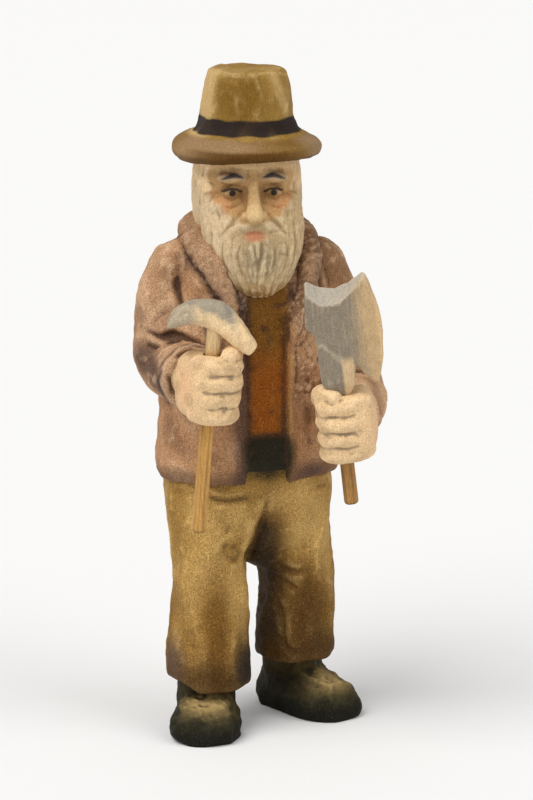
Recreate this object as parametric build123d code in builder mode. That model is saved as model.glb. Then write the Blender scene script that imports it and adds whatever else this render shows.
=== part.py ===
from build123d import *
import os

# Carved and painted woodcutter, about 19 cm tall, with a log pick in its right fist and a
# broad axe in its left. It is glued up from lime-wood blanks that meet on hidden dowels and
# turned spigots. The two tools have dowel handles that slide in the drilled fists.
#
# Millimetres. +Z is up, the coat faces -Y and the figure's right hand is at -X. The origin is on
# the ground, at the middle of the figure's box. AXIS is where the body's centre line stands.

AXIS = Vector(-2.6, 13.2, 0)  # body centre line, seen from the origin

# Heights of the planes where two blanks meet
hem_z = 74.0  # coat on trousers
right_ankle_z = 14.4  # trouser legs on boots
left_ankle_z = 17.2
neck_seat_z = 136.0  # bottom of the head's spigot
hat_seat_z = 165.6  # hat on head
hat_top_z = 190.0

head_turn = 13.0  # degrees that head and hat look to the figure's right
glue_gap = 0.12  # room for glue between two carved faces
spigot_gap = 0.05  # radial room round a turned spigot

peg_radius = 2.0
peg_length = 14.0
shoulder_peg_length = 12.0
peg_air = 0.3  # left at each end of a dowel for glue
neck_radius = 8.5
spigot_radius = 3.0  # of a hand in its sleeve
spigot_length = 4.5
spigot_out = 2.0  # outward from the middle of the cuff, clear of the coat

# Fists, each drilled up through the curled fingers
handle_radius = 2.0
handle_clearance = 0.06  # radial, so that a handle slides in its fist
fist_reach = 16.5  # along the forearm
fist_width = 16.0
fist_height = 19.4
fist_round = 5.0
fist_edge = 3.0
palm_back = -2.0  # middle of the block, seen from the handle's axis
cuff_back = 12.0  # from the handle's axis back to the cuff
wrist_radius = 7.4
wrist_length = 5.0
knuckle_x = palm_back + fist_reach / 2 + 0.3
finger_pitch = 4.9
finger_groove = 1.0
thumb_x = 4.2
thumb_y = 2.0
thumb_z = 6.6
thumb_radius = 2.8
thumb_length = 5.0

# Tools: where each handle's lower end is, which way it rises, and how far
pick_foot = Vector(-23.3, -24.5, 63.4)
pick_rise = Vector(0.060, -0.060, 0.996).normalized()
pick_length = 62.6
pick_grip = 41.8  # middle of the fist, up the handle
pick_eye_depth = 4.5  # how far the handle goes into the head
pick_thickness = 6.4
axe_foot = Vector(17.7, -36.8, 71.1)
axe_rise = Vector(-0.150, -0.083, 0.985).normalized()
axe_length = 43.2
axe_grip = 22.9
axe_socket_depth = 10.0
axe_thickness = 8.6
axe_blade_height = 40.0
handle_chamfer = 0.5
tool_across = Vector(0.94, -0.342, 0)  # towards the blades, square to their flat sides

# Arms: shoulder, elbow and cuff
right_shoulder = Vector(-20.6, 2.0, 132.0)
right_elbow = Vector(-23.8, 3.2, 110.0)
left_shoulder = Vector(21.4, 1.0, 130.2)
left_elbow = Vector(29.4, -9.0, 96.4)
shoulder_radius = 9.4
upper_arm_radius = 8.0
elbow_radius = 8.4
cuff_radius = 8.8

# Feet: middle of each boot and how many degrees its toe turns out
right_boot_middle = Vector(-15.2, -8.6)
right_toe_out = -20.0
left_boot_middle = Vector(19.0, 2.6)
left_toe_out = 26.0


def spot(x, y, z):
    """Point at x, y from the body's centre line and at height z."""
    return AXIS + Vector(x, y, z)


def level(x, y, z, turn=0.0):
    """Level sketch plane at that spot, with its own Y turned from +Y about the vertical."""
    return Plane(spot(x, y, z)).rotated((0, 0, turn))


def oval_loft(rings, grow=0.0, turn=0.0):
    """Solid through level ovals, each (x, y, z, half width, half depth), all wider by grow."""
    with BuildPart() as oval:
        for x, y, z, half_width, half_depth in rings:
            with BuildSketch(level(x, y, z, turn)):
                Ellipse(half_width + grow, half_depth + grow)
        loft()
    return oval.part


def round_limb(start, end, start_radius, end_radius):
    """Tapered round limb, flat where it starts and with a ball round its end."""
    run = end - start
    length = run.length
    foot = Plane(AXIS + start, z_dir=run)
    with BuildPart() as limb:
        with BuildSketch(Plane(foot.origin, x_dir=foot.x_dir, z_dir=-foot.y_dir)):
            with BuildLine():
                Line((0, 0), (start_radius, 0))
                Line((start_radius, 0), (end_radius, length))
                CenterArc((0, length), end_radius, 0, 90)
                Line((0, length + end_radius), (0, 0))
            make_face()
        revolve(axis=Axis(foot.origin, foot.z_dir))
    return limb.part


def tool_plane(foot, rise):
    """Plane of a tool's flat side through its handle: Y up the handle, X towards the blade."""
    sideways = (tool_across - rise * tool_across.dot(rise)).normalized()
    return Plane(AXIS + foot, x_dir=sideways, z_dir=sideways.cross(rise))


def coat_blank(grow=0.0):
    """Coat from hem to collar, wider by grow where another blank is fitted round it."""
    shell = oval_loft(COAT_RINGS, grow)
    with BuildPart() as coat:
        add(shell)
        with Locations(Location(spot(*COLLAR_MIDDLE), COLLAR_TURN)):
            Torus(COLLAR_RADIUS, COLLAR_ROLL + grow)
    return coat.part


# Level ovals of the coat, hem upwards: x, y, z, half width, half depth
COAT_RINGS = [
    (0, 0, hem_z, 25.2, 16.8),
    (0, 0, hem_z + 4, 26.8, 18.2),
    (0, 0, 96, 25.2, 17.2),
    (0, 0, 112, 24.4, 16.8),
    (0, 0, 126, 24.0, 16.2),
    (-0.3, 0.5, 136, 22.0, 14.6),
    (-0.5, 1.0, 143.5, 16.5, 12.0),
]
COLLAR_MIDDLE = (-0.5, 0.5, 142.4)
COLLAR_TURN = (14, 0, 90)  # tipped forward, with its seam out of the way
COLLAR_RADIUS = 13.4
COLLAR_ROLL = 3.8

# Trouser legs and hips, the same way
HIP_RINGS = [
    (0, 0, 54, 22.5, 14.5),
    (0, 0, 62, 24.0, 16.2),
    (0, 0, hem_z, 24.4, 16.4),
]
RIGHT_LEG_RINGS = [
    (-13.9, -5.8, right_ankle_z, 11.2, 11.2),
    (-13.9, -5.6, 24, 11.6, 11.6),
    (-13.4, -4.8, 38, 10.8, 10.8),
    (-12.2, -2.8, 52, 11.4, 11.4),
    (-11.6, -1.0, 64, 12.0, 12.0),
]
LEFT_LEG_RINGS = [
    (14.6, 0.6, left_ankle_z, 10.6, 10.6),
    (14.8, 1.0, 24, 11.2, 11.2),
    (14.4, 0.6, 38, 11.0, 11.0),
    (12.8, 0.2, 52, 11.4, 11.4),
    (11.6, 0, 64, 12.0, 12.0),
]

# Hair and beard in the head's own turn
SKULL_RINGS = [
    (0, 1.0, 139, 10.5, 9.5),
    (0, 0.5, 146, 13.8, 13.6),
    (0, 0.5, 155, 15.2, 14.8),
    (0, 0.5, hat_seat_z, 15.0, 14.6),
]
BEARD_RINGS = [
    (-2.2, -15.5, 128, 5.0, 3.6),
    (-2.0, -13.0, 133, 10.0, 6.6),
    (-1.6, -9.6, 141, 14.0, 10.0),
    (-1.2, -7.0, 149, 14.2, 10.2),
    (-1.0, -5.0, 155, 12.0, 8.6),
]

# ---------------------------------------------------------------- coat with shirt and belt
coat_body = coat_blank()
right_shoulder_seat = Plane(spot(-16.5, 2.0, 127), z_dir=(-1, 0, 0))
left_shoulder_seat = Plane(spot(16.5, 0, 125), z_dir=(1, 0, 0))
right_waist_seat = level(-12, 0, hem_z)
left_waist_seat = level(12, 0, hem_z)
hat_seat = level(0, 0.5, hat_seat_z)
with BuildPart() as torso:
    add(coat_body)
    with BuildSketch(level(0, 0.5, neck_seat_z)):
        Circle(neck_radius + spigot_gap)
    extrude(amount=20, mode=Mode.SUBTRACT)
    for seat in (right_waist_seat, left_waist_seat):
        with BuildSketch(seat):
            Circle(peg_radius)
        extrude(amount=peg_length / 2, mode=Mode.SUBTRACT)
    for seat in (right_shoulder_seat, left_shoulder_seat):
        with BuildSketch(seat):
            Circle(peg_radius)
        extrude(amount=shoulder_peg_length, mode=Mode.SUBTRACT)
torso.part.label = "torso"

# ---------------------------------------------------------------- head with hair and beard
skull = oval_loft(SKULL_RINGS, turn=-head_turn)
beard = oval_loft(BEARD_RINGS, turn=-head_turn)
coat_room = coat_blank(glue_gap)
with BuildPart() as head:
    add(skull)
    add(beard)
    with BuildSketch(level(-3.4, -13.8, 149.0, -head_turn)):
        Ellipse(2.6, 4.0)
    extrude(amount=9, taper=14)
    add(coat_room, mode=Mode.SUBTRACT)
    with BuildSketch(level(0, 0.5, neck_seat_z)):
        Circle(neck_radius)
    extrude(amount=12)
    with BuildSketch(hat_seat):
        Circle(peg_radius)
    extrude(amount=-peg_length / 2, mode=Mode.SUBTRACT)
head.part.label = "head"

# ---------------------------------------------------------------- hat
crown_top_radius = 9.6
crown_foot_radius = 14.7
band_top_radius = 13.4
band_top_z = 175.4
crown_foot_z = 171.4
brim_radius = 20.8
brim_edge_z = 169.4
with BuildPart() as hat:
    with BuildSketch(Plane(spot(0, 0.5, 0), x_dir=(1, 0, 0), z_dir=(0, -1, 0))) as hat_half:
        with BuildLine():
            Polyline(
                (0, hat_seat_z),
                (brim_radius - 1.2, hat_seat_z),
                (brim_radius, hat_seat_z + 1.4),
                (brim_radius - 0.6, brim_edge_z),
                (crown_foot_radius, crown_foot_z),
                (band_top_radius, band_top_z),
                (crown_top_radius + 1.6, hat_top_z - 2.4),
                (crown_top_radius, hat_top_z - 0.6),
                (0, hat_top_z),
                close=True,
            )
        make_face()
    revolve(axis=Axis(spot(0, 0.5, 0), (0, 0, 1)))
    with BuildSketch(hat_seat):
        Circle(peg_radius)
    extrude(amount=peg_length / 2, mode=Mode.SUBTRACT)
hat.part.label = "hat"

# ---------------------------------------------------------------- trousers
hips = oval_loft(HIP_RINGS)
right_leg = oval_loft(RIGHT_LEG_RINGS)
left_leg = oval_loft(LEFT_LEG_RINGS)
right_ankle_seat = level(right_boot_middle.X + 2.2, right_boot_middle.Y + 4.6, right_ankle_z)
left_ankle_seat = level(left_boot_middle.X - 3.4, left_boot_middle.Y + 2.6, left_ankle_z)
with BuildPart() as trousers:
    add(hips)
    add(right_leg)
    add(left_leg)
    for seat in (right_waist_seat, left_waist_seat):
        with BuildSketch(seat):
            Circle(peg_radius)
        extrude(amount=-peg_length / 2, mode=Mode.SUBTRACT)
    for seat in (right_ankle_seat, left_ankle_seat):
        with BuildSketch(seat):
            Circle(peg_radius)
        extrude(amount=peg_length / 2, mode=Mode.SUBTRACT)
trousers.part.label = "trousers"


# ---------------------------------------------------------------- boots
def boot_blank(middle, toe_out, ankle_z):
    """Round-toed boot with a flat sole, its toe turned out by that many degrees, as an upper
    and a shaft that ends at ankle_z."""
    upper = oval_loft(
        [
            (middle.X, middle.Y, 0, 8.6, 15.6),
            (middle.X, middle.Y, 3, 9.9, 17.2),
            (middle.X, middle.Y, 7.5, 9.3, 16.4),
            (middle.X, middle.Y, 11, 6.4, 12.2),
        ],
        turn=toe_out,
    )
    heel = Vector(0, 5.4).rotate(Axis.Z, toe_out)
    shaft_x, shaft_y = middle.X + heel.X, middle.Y + heel.Y
    shaft = oval_loft(
        [
            (shaft_x, shaft_y, 4, 8.8, 9.4),
            (shaft_x, shaft_y, 10, 8.2, 8.8),
            (shaft_x, shaft_y, ankle_z, 8.0, 8.4),
        ],
        turn=toe_out,
    )
    return upper, shaft


right_upper, right_shaft = boot_blank(right_boot_middle, right_toe_out, right_ankle_z)
with BuildPart() as right_boot:
    add(right_upper)
    add(right_shaft)
    with BuildSketch(right_ankle_seat):
        Circle(peg_radius)
    extrude(amount=-peg_length / 2, mode=Mode.SUBTRACT)
right_boot.part.label = "right_boot"

left_upper, left_shaft = boot_blank(left_boot_middle, left_toe_out, left_ankle_z)
with BuildPart() as left_boot:
    add(left_upper)
    add(left_shaft)
    with BuildSketch(left_ankle_seat):
        Circle(peg_radius)
    extrude(amount=-peg_length / 2, mode=Mode.SUBTRACT)
left_boot.part.label = "left_boot"


# ---------------------------------------------------------------- fists, drilled for the tools
def grip_plane(foot, rise, grip, elbow):
    """Plane at the middle of a fist: Z up the handle, X from the elbow to the knuckles."""
    middle = foot + rise * grip
    reach = middle - elbow
    forward = (reach - rise * reach.dot(rise)).normalized()
    return Plane(AXIS + middle, x_dir=forward, z_dir=rise)


def cuff_plane(grip, elbow):
    """Plane where a fist meets its sleeve, with Z towards the elbow."""
    middle = grip.origin - grip.x_dir * cuff_back
    return Plane(middle, z_dir=AXIS + elbow - middle)


def spigot_plane(cuff, side):
    """Cuff plane, moved sideways within itself and away from the coat: side is 1 or -1."""
    sideways = Vector(0, 0, 1).cross(cuff.z_dir).normalized()
    return Plane(cuff.origin + sideways * side * spigot_out, z_dir=cuff.z_dir)


def fist_blank(grip, cuff, thumb_side):
    """Closed fist: a rounded block with grooves between the fingers, the thumb laid over them
    and the wrist that runs back to the cuff."""
    thumb_middle = Location((thumb_x, thumb_side * thumb_y, thumb_z), (90, 0, 0))
    with BuildPart() as fist:
        with BuildSketch(grip.offset(-fist_height / 2)):
            with Locations((palm_back, 0)):
                RectangleRounded(fist_reach, fist_width, fist_round)
        extrude(amount=fist_height)
        along = Axis(grip.origin, grip.z_dir)
        fillet(fist.edges().group_by(along)[0] + fist.edges().group_by(along)[-1], fist_edge)
        for row in (-1, 0, 1):
            with Locations(grip * Location((knuckle_x, 0, finger_pitch * row), (90, 0, 0))):
                Cylinder(finger_groove, fist_width * 1.1, mode=Mode.SUBTRACT)
        with BuildSketch(cuff):
            Circle(wrist_radius)
        extrude(amount=-wrist_length)
        with Locations(grip * thumb_middle):
            Cylinder(thumb_radius, thumb_length)
        for end in (-thumb_length / 2, thumb_length / 2):
            with Locations(grip * thumb_middle * Location((0, 0, end))):
                Sphere(thumb_radius)
    return fist.part


right_grip = grip_plane(pick_foot, pick_rise, pick_grip, right_elbow)
left_grip = grip_plane(axe_foot, axe_rise, axe_grip, left_elbow)
right_cuff = cuff_plane(right_grip, right_elbow)
left_cuff = cuff_plane(left_grip, left_elbow)

right_spigot = spigot_plane(right_cuff, 1)
left_spigot = spigot_plane(left_cuff, -1)

right_fist = fist_blank(right_grip, right_cuff, 1)
with BuildPart() as right_hand:
    add(right_fist)
    with BuildSketch(right_spigot):
        Circle(spigot_radius)
    extrude(amount=spigot_length)
    with BuildSketch(right_grip.offset(-fist_height)):
        Circle(handle_radius + handle_clearance)
    extrude(amount=fist_height * 2, mode=Mode.SUBTRACT)
right_hand.part.label = "right_hand"

left_fist = fist_blank(left_grip, left_cuff, -1)
with BuildPart() as left_hand:
    add(left_fist)
    with BuildSketch(left_spigot):
        Circle(spigot_radius)
    extrude(amount=spigot_length)
    with BuildSketch(left_grip.offset(-fist_height)):
        Circle(handle_radius + handle_clearance)
    extrude(amount=fist_height * 2, mode=Mode.SUBTRACT)
left_hand.part.label = "left_hand"


# ---------------------------------------------------------------- sleeves
def sleeve_blank(shoulder, elbow, cuff):
    """Bent sleeve: round shoulder, upper arm, elbow, and forearm cut square at the cuff."""
    upper = round_limb(elbow, shoulder, upper_arm_radius, shoulder_radius)
    fore = round_limb(cuff.origin - AXIS, elbow, cuff_radius, elbow_radius)
    with BuildPart() as sleeve:
        add(upper)
        add(fore)
    return sleeve.part


right_sleeve = sleeve_blank(right_shoulder, right_elbow, right_cuff)
with BuildPart() as right_arm:
    add(right_sleeve)
    add(coat_room, mode=Mode.SUBTRACT)
    with BuildSketch(right_spigot):
        Circle(spigot_radius + spigot_gap)
    extrude(amount=spigot_length, mode=Mode.SUBTRACT)
    with BuildSketch(right_shoulder_seat):
        Circle(peg_radius)
    extrude(amount=shoulder_peg_length, mode=Mode.SUBTRACT)
right_arm.part.label = "right_arm"

left_sleeve = sleeve_blank(left_shoulder, left_elbow, left_cuff)
with BuildPart() as left_arm:
    add(left_sleeve)
    add(coat_room, mode=Mode.SUBTRACT)
    with BuildSketch(left_spigot):
        Circle(spigot_radius + spigot_gap)
    extrude(amount=spigot_length, mode=Mode.SUBTRACT)
    with BuildSketch(left_shoulder_seat):
        Circle(peg_radius)
    extrude(amount=shoulder_peg_length, mode=Mode.SUBTRACT)
left_arm.part.label = "left_arm"

# ---------------------------------------------------------------- log pick
pick_rod = Plane(AXIS + pick_foot, z_dir=pick_rise)
pick_face = tool_plane(pick_foot, pick_rise)
eye = pick_length - pick_eye_depth
with BuildPart() as pick_handle:
    with BuildSketch(pick_rod):
        Circle(handle_radius)
    extrude(amount=pick_length)
    chamfer(pick_handle.edges().group_by(Axis(pick_rod.origin, pick_rod.z_dir))[0], handle_chamfer)
pick_handle.part.label = "pick_handle"

with BuildPart() as pick_head:
    with BuildSketch(pick_face.offset(-pick_thickness / 2)):
        with BuildLine():
            back = Spline(
                (-12.6, eye + 0.9),
                (-10.8, eye + 5.3),
                (-7.4, eye + 7.6),
                (-2.4, eye + 8.3),
                (2.4, eye + 7.1),
                (6.8, eye + 2.4),
                (11.8, eye - 3.8),
            )
            tip = Line(back @ 1, (10.4, eye - 5.8))
            Spline(
                tip @ 1,
                (7.4, eye - 5.0),
                (3.4, eye - 1.8),
                (0, eye),
                (-4.7, eye + 1.2),
                (-8.4, eye + 0.9),
                back @ 0,
            )
        make_face()
    extrude(amount=pick_thickness)
    with BuildSketch(pick_rod):
        Circle(handle_radius)
    extrude(amount=pick_length, mode=Mode.SUBTRACT)
pick_head.part.label = "pick_head"

# ---------------------------------------------------------------- broad axe
axe_rod = Plane(AXIS + axe_foot, z_dir=axe_rise)
axe_face = tool_plane(axe_foot, axe_rise)
socket = axe_length - axe_socket_depth
with BuildPart() as axe_handle:
    with BuildSketch(axe_rod):
        Circle(handle_radius)
    extrude(amount=axe_length)
    chamfer(axe_handle.edges().group_by(Axis(axe_rod.origin, axe_rod.z_dir))[0], handle_chamfer)
axe_handle.part.label = "axe_handle"

axe_wedge = Plane(AXIS + axe_foot, x_dir=axe_face.x_dir, z_dir=axe_rise)
with BuildPart() as axe_head:
    with BuildSketch(axe_face.offset(-axe_thickness)):
        with BuildLine():
            top = Spline((-5.6, socket + 31.3), (1.0, socket + 27.9), (10.2, socket + 33.1))
            edge = Spline(
                top @ 1,
                (12.7, socket + 26.3),
                (13.7, socket + 15.9),
                (11.2, socket + 1.9),
            )
            Polyline(
                edge @ 1,
                (5.6, socket + 8.1),
                (4.0, socket),
                (-4.0, socket),
                (-4.2, socket + 18.3),
                (-6.0, socket + 21.3),
                top @ 0,
            )
        make_face()
    extrude(amount=axe_thickness * 2)
    with BuildSketch(axe_wedge):
        Polygon(
            (-6.2, -2.4),
            (-3.6, -axe_thickness / 2),
            (3.6, -axe_thickness / 2),
            (15.0, -0.3),
            (15.0, 0.3),
            (3.6, axe_thickness / 2),
            (-3.6, axe_thickness / 2),
            (-6.2, 2.4),
            align=None,
        )
    extrude(amount=axe_length + axe_blade_height, mode=Mode.INTERSECT)
    with BuildSketch(axe_rod):
        Circle(handle_radius)
    extrude(amount=axe_length, mode=Mode.SUBTRACT)
axe_head.part.label = "axe_head"


# ---------------------------------------------------------------- hidden dowels
def dowel(seat, start, length):
    """Plain 4 mm dowel that begins that far along the seat's Z, with air left at both ends."""
    with BuildPart() as rod:
        with BuildSketch(seat.offset(start + peg_air)):
            Circle(peg_radius)
        extrude(amount=length - 2 * peg_air)
    return rod.part


half = peg_length / 2
pegs = {
    "hat_peg": dowel(hat_seat, -half, peg_length),
    "right_waist_peg": dowel(right_waist_seat, -half, peg_length),
    "left_waist_peg": dowel(left_waist_seat, -half, peg_length),
    "right_shoulder_peg": dowel(right_shoulder_seat, 0, shoulder_peg_length),
    "left_shoulder_peg": dowel(left_shoulder_seat, 0, shoulder_peg_length),
    "right_ankle_peg": dowel(right_ankle_seat, -half, peg_length),
    "left_ankle_peg": dowel(left_ankle_seat, -half, peg_length),
}
for name, peg in pegs.items():
    peg.label = name

# ---------------------------------------------------------------- write
os.makedirs("parts", exist_ok=True)
export_step(torso.part, "parts/torso.step")
export_step(head.part, "parts/head.step")
export_step(hat.part, "parts/hat.step")
export_step(trousers.part, "parts/trousers.step")
export_step(right_boot.part, "parts/right_boot.step")
export_step(left_boot.part, "parts/left_boot.step")
export_step(right_arm.part, "parts/right_arm.step")
export_step(left_arm.part, "parts/left_arm.step")
export_step(right_hand.part, "parts/right_hand.step")
export_step(left_hand.part, "parts/left_hand.step")
export_step(pick_handle.part, "parts/pick_handle.step")
export_step(pick_head.part, "parts/pick_head.step")
export_step(axe_handle.part, "parts/axe_handle.step")
export_step(axe_head.part, "parts/axe_head.step")
for name, peg in pegs.items():
    export_step(peg, f"parts/{name}.step")
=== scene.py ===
import math

import bpy
import numpy as np
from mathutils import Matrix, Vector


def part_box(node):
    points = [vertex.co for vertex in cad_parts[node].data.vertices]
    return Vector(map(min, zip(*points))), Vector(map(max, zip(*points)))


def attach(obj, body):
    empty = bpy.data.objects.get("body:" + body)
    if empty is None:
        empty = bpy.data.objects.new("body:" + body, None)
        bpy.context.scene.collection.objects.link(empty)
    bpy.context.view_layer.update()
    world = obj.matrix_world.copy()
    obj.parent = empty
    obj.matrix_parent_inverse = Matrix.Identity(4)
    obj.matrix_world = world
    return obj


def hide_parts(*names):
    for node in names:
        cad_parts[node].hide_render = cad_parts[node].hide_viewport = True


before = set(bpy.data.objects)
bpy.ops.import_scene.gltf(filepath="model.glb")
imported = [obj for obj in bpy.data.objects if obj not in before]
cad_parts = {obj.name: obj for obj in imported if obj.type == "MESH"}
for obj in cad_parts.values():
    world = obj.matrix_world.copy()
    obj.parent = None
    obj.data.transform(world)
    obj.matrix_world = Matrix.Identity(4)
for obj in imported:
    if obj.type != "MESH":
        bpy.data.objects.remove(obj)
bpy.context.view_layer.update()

# ---------------------------------------------------------------- where the figure stands
# The carver measures everything from the figure's own centre line, in millimetres: x to the
# figure's left, y to its back, z up. The hat sits on that line, so its box gives the place.
MM = 1000.0
hat_low, hat_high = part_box("hat")
hat_setback = 0.5  # the hat's middle is this far behind the centre line
centre_line = np.array(
    [(hat_low.x + hat_high.x) / 2, (hat_low.y + hat_high.y) / 2 - hat_setback / MM, 0.0]
)

# ---------------------------------------------------------------- table, light and viewpoint
# A flat sheet of white paper, one large soft lamp on the figure's right, a weaker one on its left
# and an even white surround. A long lens looks down a little, from the figure's right.
view_azimuth = math.radians(-20)
view_height = math.radians(12.5)
view_distance = 1.1
view_across = 5.4 / MM
view_middle = 94.3 / MM
lens_mm = 173.25

aim = centre_line + np.array(
    [view_across * math.cos(view_azimuth), view_across * math.sin(view_azimuth), view_middle]
)
back = np.array(
    [
        math.sin(view_azimuth) * math.cos(view_height),
        -math.cos(view_azimuth) * math.cos(view_height),
        math.sin(view_height),
    ]
)
camera_data = bpy.data.cameras.new("camera")
camera_data.lens = lens_mm
camera_data.sensor_width = 36.0
camera_data.clip_start = 0.05
camera = bpy.data.objects.new("camera", camera_data)
camera.location = aim + back * view_distance
camera.rotation_euler = (math.pi / 2 - view_height, 0.0, view_azimuth)
bpy.context.scene.collection.objects.link(camera)
bpy.context.scene.camera = camera
bpy.context.scene.view_settings.view_transform = "Standard"


def soft_lamp(name, azimuth, height, spread, strength, tint):
    """Far soft lamp at azimuth and height in degrees from the front, spread degrees wide."""
    data = bpy.data.lights.new(name, "SUN")
    data.angle = math.radians(spread)
    data.energy = strength
    data.color = tint
    thing = bpy.data.objects.new(name, data)
    thing.rotation_euler = (math.pi / 2 - math.radians(height), 0.0, math.radians(azimuth))
    bpy.context.scene.collection.objects.link(thing)


soft_lamp("key_lamp", -66, 54, 46, 2.14, (1.0, 0.985, 0.96))
soft_lamp("fill_lamp", 40, 36, 45, 0.88, (1.0, 0.99, 0.98))

world = bpy.data.worlds.new("surround")
world.use_nodes = True
surround = world.node_tree.nodes["Background"].inputs
surround["Color"].default_value = (1.0, 0.998, 0.995, 1)
surround["Strength"].default_value = 0.43
bpy.context.scene.world = world

paper_reach = 8.0
sheet_mesh = bpy.data.meshes.new("white_paper")
sheet_mesh.from_pydata(
    [(x * paper_reach, y * paper_reach, 0.0) for x, y in ((-1, -1), (1, -1), (1, 1), (-1, 1))],
    [], [(0, 1, 2, 3)],
)
sheet = bpy.data.objects.new("white_paper", sheet_mesh)
bpy.context.scene.collection.objects.link(sheet)
paper = bpy.data.materials.new("white_paper")
paper.use_nodes = True
paper_look = paper.node_tree.nodes["Principled BSDF"].inputs
paper_look["Base Color"].default_value = (0.845, 0.848, 0.852, 1)
paper_look["Roughness"].default_value = 0.9
paper_look["Specular IOR Level"].default_value = 0.1
sheet_mesh.materials.append(paper)


# ---------------------------------------------------------------- hat
# Turned-looking felt hat carved from one block: a tapered crown with a flat top and a thick
# rolled brim. Ochre stain, a dark painted band, pegged on top of the head.
def curve(points, count):
    """Catmull-Rom spline through the rows of points, of any width, as count even rows."""
    rows = np.asarray(points, float)
    ends = np.vstack([2 * rows[0] - rows[1], rows, 2 * rows[-1] - rows[-2]])
    t = np.linspace(0, len(rows) - 1, count)
    i = np.minimum(t.astype(int), len(rows) - 2)
    f = (t - i)[:, None]
    a, b, c, d = ends[i], ends[i + 1], ends[i + 2], ends[i + 3]
    return b + 0.5 * f * (c - a + f * (2 * a - 5 * b + 4 * c - d + f * (3 * (b - c) + d - a)))


def skin(rings):
    """Points and faces of a closed skin over rings [rows, columns, 3]: each row is a closed
    loop, rows are joined by squares, and each end row is closed by a fan to its middle."""
    rows, columns = rings.shape[:2]
    points = np.vstack([rings.reshape(-1, 3), rings[0].mean(0), rings[-1].mean(0)])
    i, j = np.meshgrid(np.arange(rows - 1), np.arange(columns), indexing="ij")
    k = (j + 1) % columns
    squares = np.stack([i * columns + j, i * columns + k, (i + 1) * columns + k, (i + 1) * columns + j], -1)
    j = np.arange(columns)
    k = (j + 1) % columns
    first, last, base = rows * columns, rows * columns + 1, (rows - 1) * columns
    low = np.stack([k, j, np.full(columns, first)], -1)
    high = np.stack([base + j, base + k, np.full(columns, last)], -1)
    return points, squares.reshape(-1, 4).tolist() + low.tolist() + high.tolist()


def piece_from(name, points, faces):
    """Mesh object with those points, in millimetres from the centre line until it is placed."""
    mesh = bpy.data.meshes.new(name)
    mesh.from_pydata(points.tolist(), [], faces)
    mesh.update()
    thing = bpy.data.objects.new(name, mesh)
    bpy.context.scene.collection.objects.link(thing)
    return thing


def points_of(thing):
    """Vertex places as an array [n, 3]."""
    flat = np.empty(len(thing.data.vertices) * 3, np.float32)
    thing.data.vertices.foreach_get("co", flat)
    return flat.reshape(-1, 3).astype(float)


def normals_of(thing):
    """Vertex normals as an array [n, 3]."""
    flat = np.empty(len(thing.data.vertices) * 3, np.float32)
    thing.data.vertex_normals.foreach_get("vector", flat)
    return flat.reshape(-1, 3).astype(float)


def shape(thing, points):
    """Gives the vertices new places."""
    thing.data.vertices.foreach_set("co", points.astype(np.float32).ravel())
    thing.data.update()


def averaged(thing, values, times):
    """Values [n, k] at the vertices, each pass replaced by the mean over the edges that meet there."""
    ends = np.empty(len(thing.data.edges) * 2, np.int32)
    thing.data.edges.foreach_get("vertices", ends)
    a, b = ends[0::2], ends[1::2]
    n = len(thing.data.vertices)
    share = 1.0 / np.maximum(np.bincount(a, minlength=n) + np.bincount(b, minlength=n), 1)
    for _ in range(times):
        total = np.empty_like(values)
        for column in range(values.shape[1]):
            total[:, column] = np.bincount(a, values[b, column], n) + np.bincount(b, values[a, column], n)
        values = total * share[:, None]
    return values


def soften(thing, times):
    """Sands the skin: every vertex goes to the mean of its neighbours, that many times."""
    shape(thing, averaged(thing, points_of(thing), times))


def hollow_of(thing, times, reach):
    """How far each vertex lies below the skin averaged that many times, over reach: 1 deep in a
    groove, -1 on a sharp edge."""
    points = points_of(thing)
    dip = ((averaged(thing, points, times) - points) * normals_of(thing)).sum(1)
    return np.clip(dip / reach, -1.0, 1.0)


def knife_facets(thing, spacing, depth, seed, share=0.8):
    """Flat knife cuts: seeds are spread over the skin at that spacing, and each vertex moves
    towards the tangent plane of the seeds nearest to it, by at most depth."""
    points, normals = points_of(thing), normals_of(thing)
    draw = np.random.default_rng(seed)
    seeds = []
    for candidate in draw.permutation(len(points))[:6000]:
        if not seeds or ((points[seeds] - points[candidate]) ** 2).sum(1).min() > spacing**2:
            seeds.append(candidate)
    centres, facings = points[seeds].astype(np.float32), normals[seeds].astype(np.float32)
    moved = points.copy()
    for start in range(0, len(points), 8000):
        part = points[start : start + 8000].astype(np.float32)
        apart = ((part[:, None] - centres[None]) ** 2).sum(2)
        height = ((part[:, None] - centres[None]) * facings[None]).sum(2)
        weight = np.exp((apart.min(1)[:, None] - apart) / (0.25 * spacing**2))
        lift = (weight * height).sum(1) / weight.sum(1)
        cut = np.clip(-lift * share, -depth, depth)
        moved[start : start + 8000] += cut[:, None] * normals[start : start + 8000]
    shape(thing, moved)


def cloud(points, size, seed):
    """Smooth random field of about -1 to 1 with lumps of that size, one or three numbers: a sum
    of 24 cosine waves of random direction and phase."""
    draw = np.random.default_rng(seed)
    waves = draw.normal(size=(3, 24))
    waves *= 2 * math.pi / np.broadcast_to(np.asarray(size, float), (3,))[:, None] / 2.4
    return np.cos(points @ waves + draw.uniform(0, 2 * math.pi, 24)).sum(1) / 5.0


def ramp(values, low, high):
    """0 below low, 1 above high, and a smooth S between them."""
    t = np.clip((values - low) / (high - low), 0.0, 1.0)
    return t * t * (3 - 2 * t)


def mixed(paint, colour, mask):
    """Paint [n, 3] brushed over with a colour where the mask is 1."""
    return paint + (np.asarray(colour) - paint) * np.clip(mask, 0, 1)[:, None]


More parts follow.
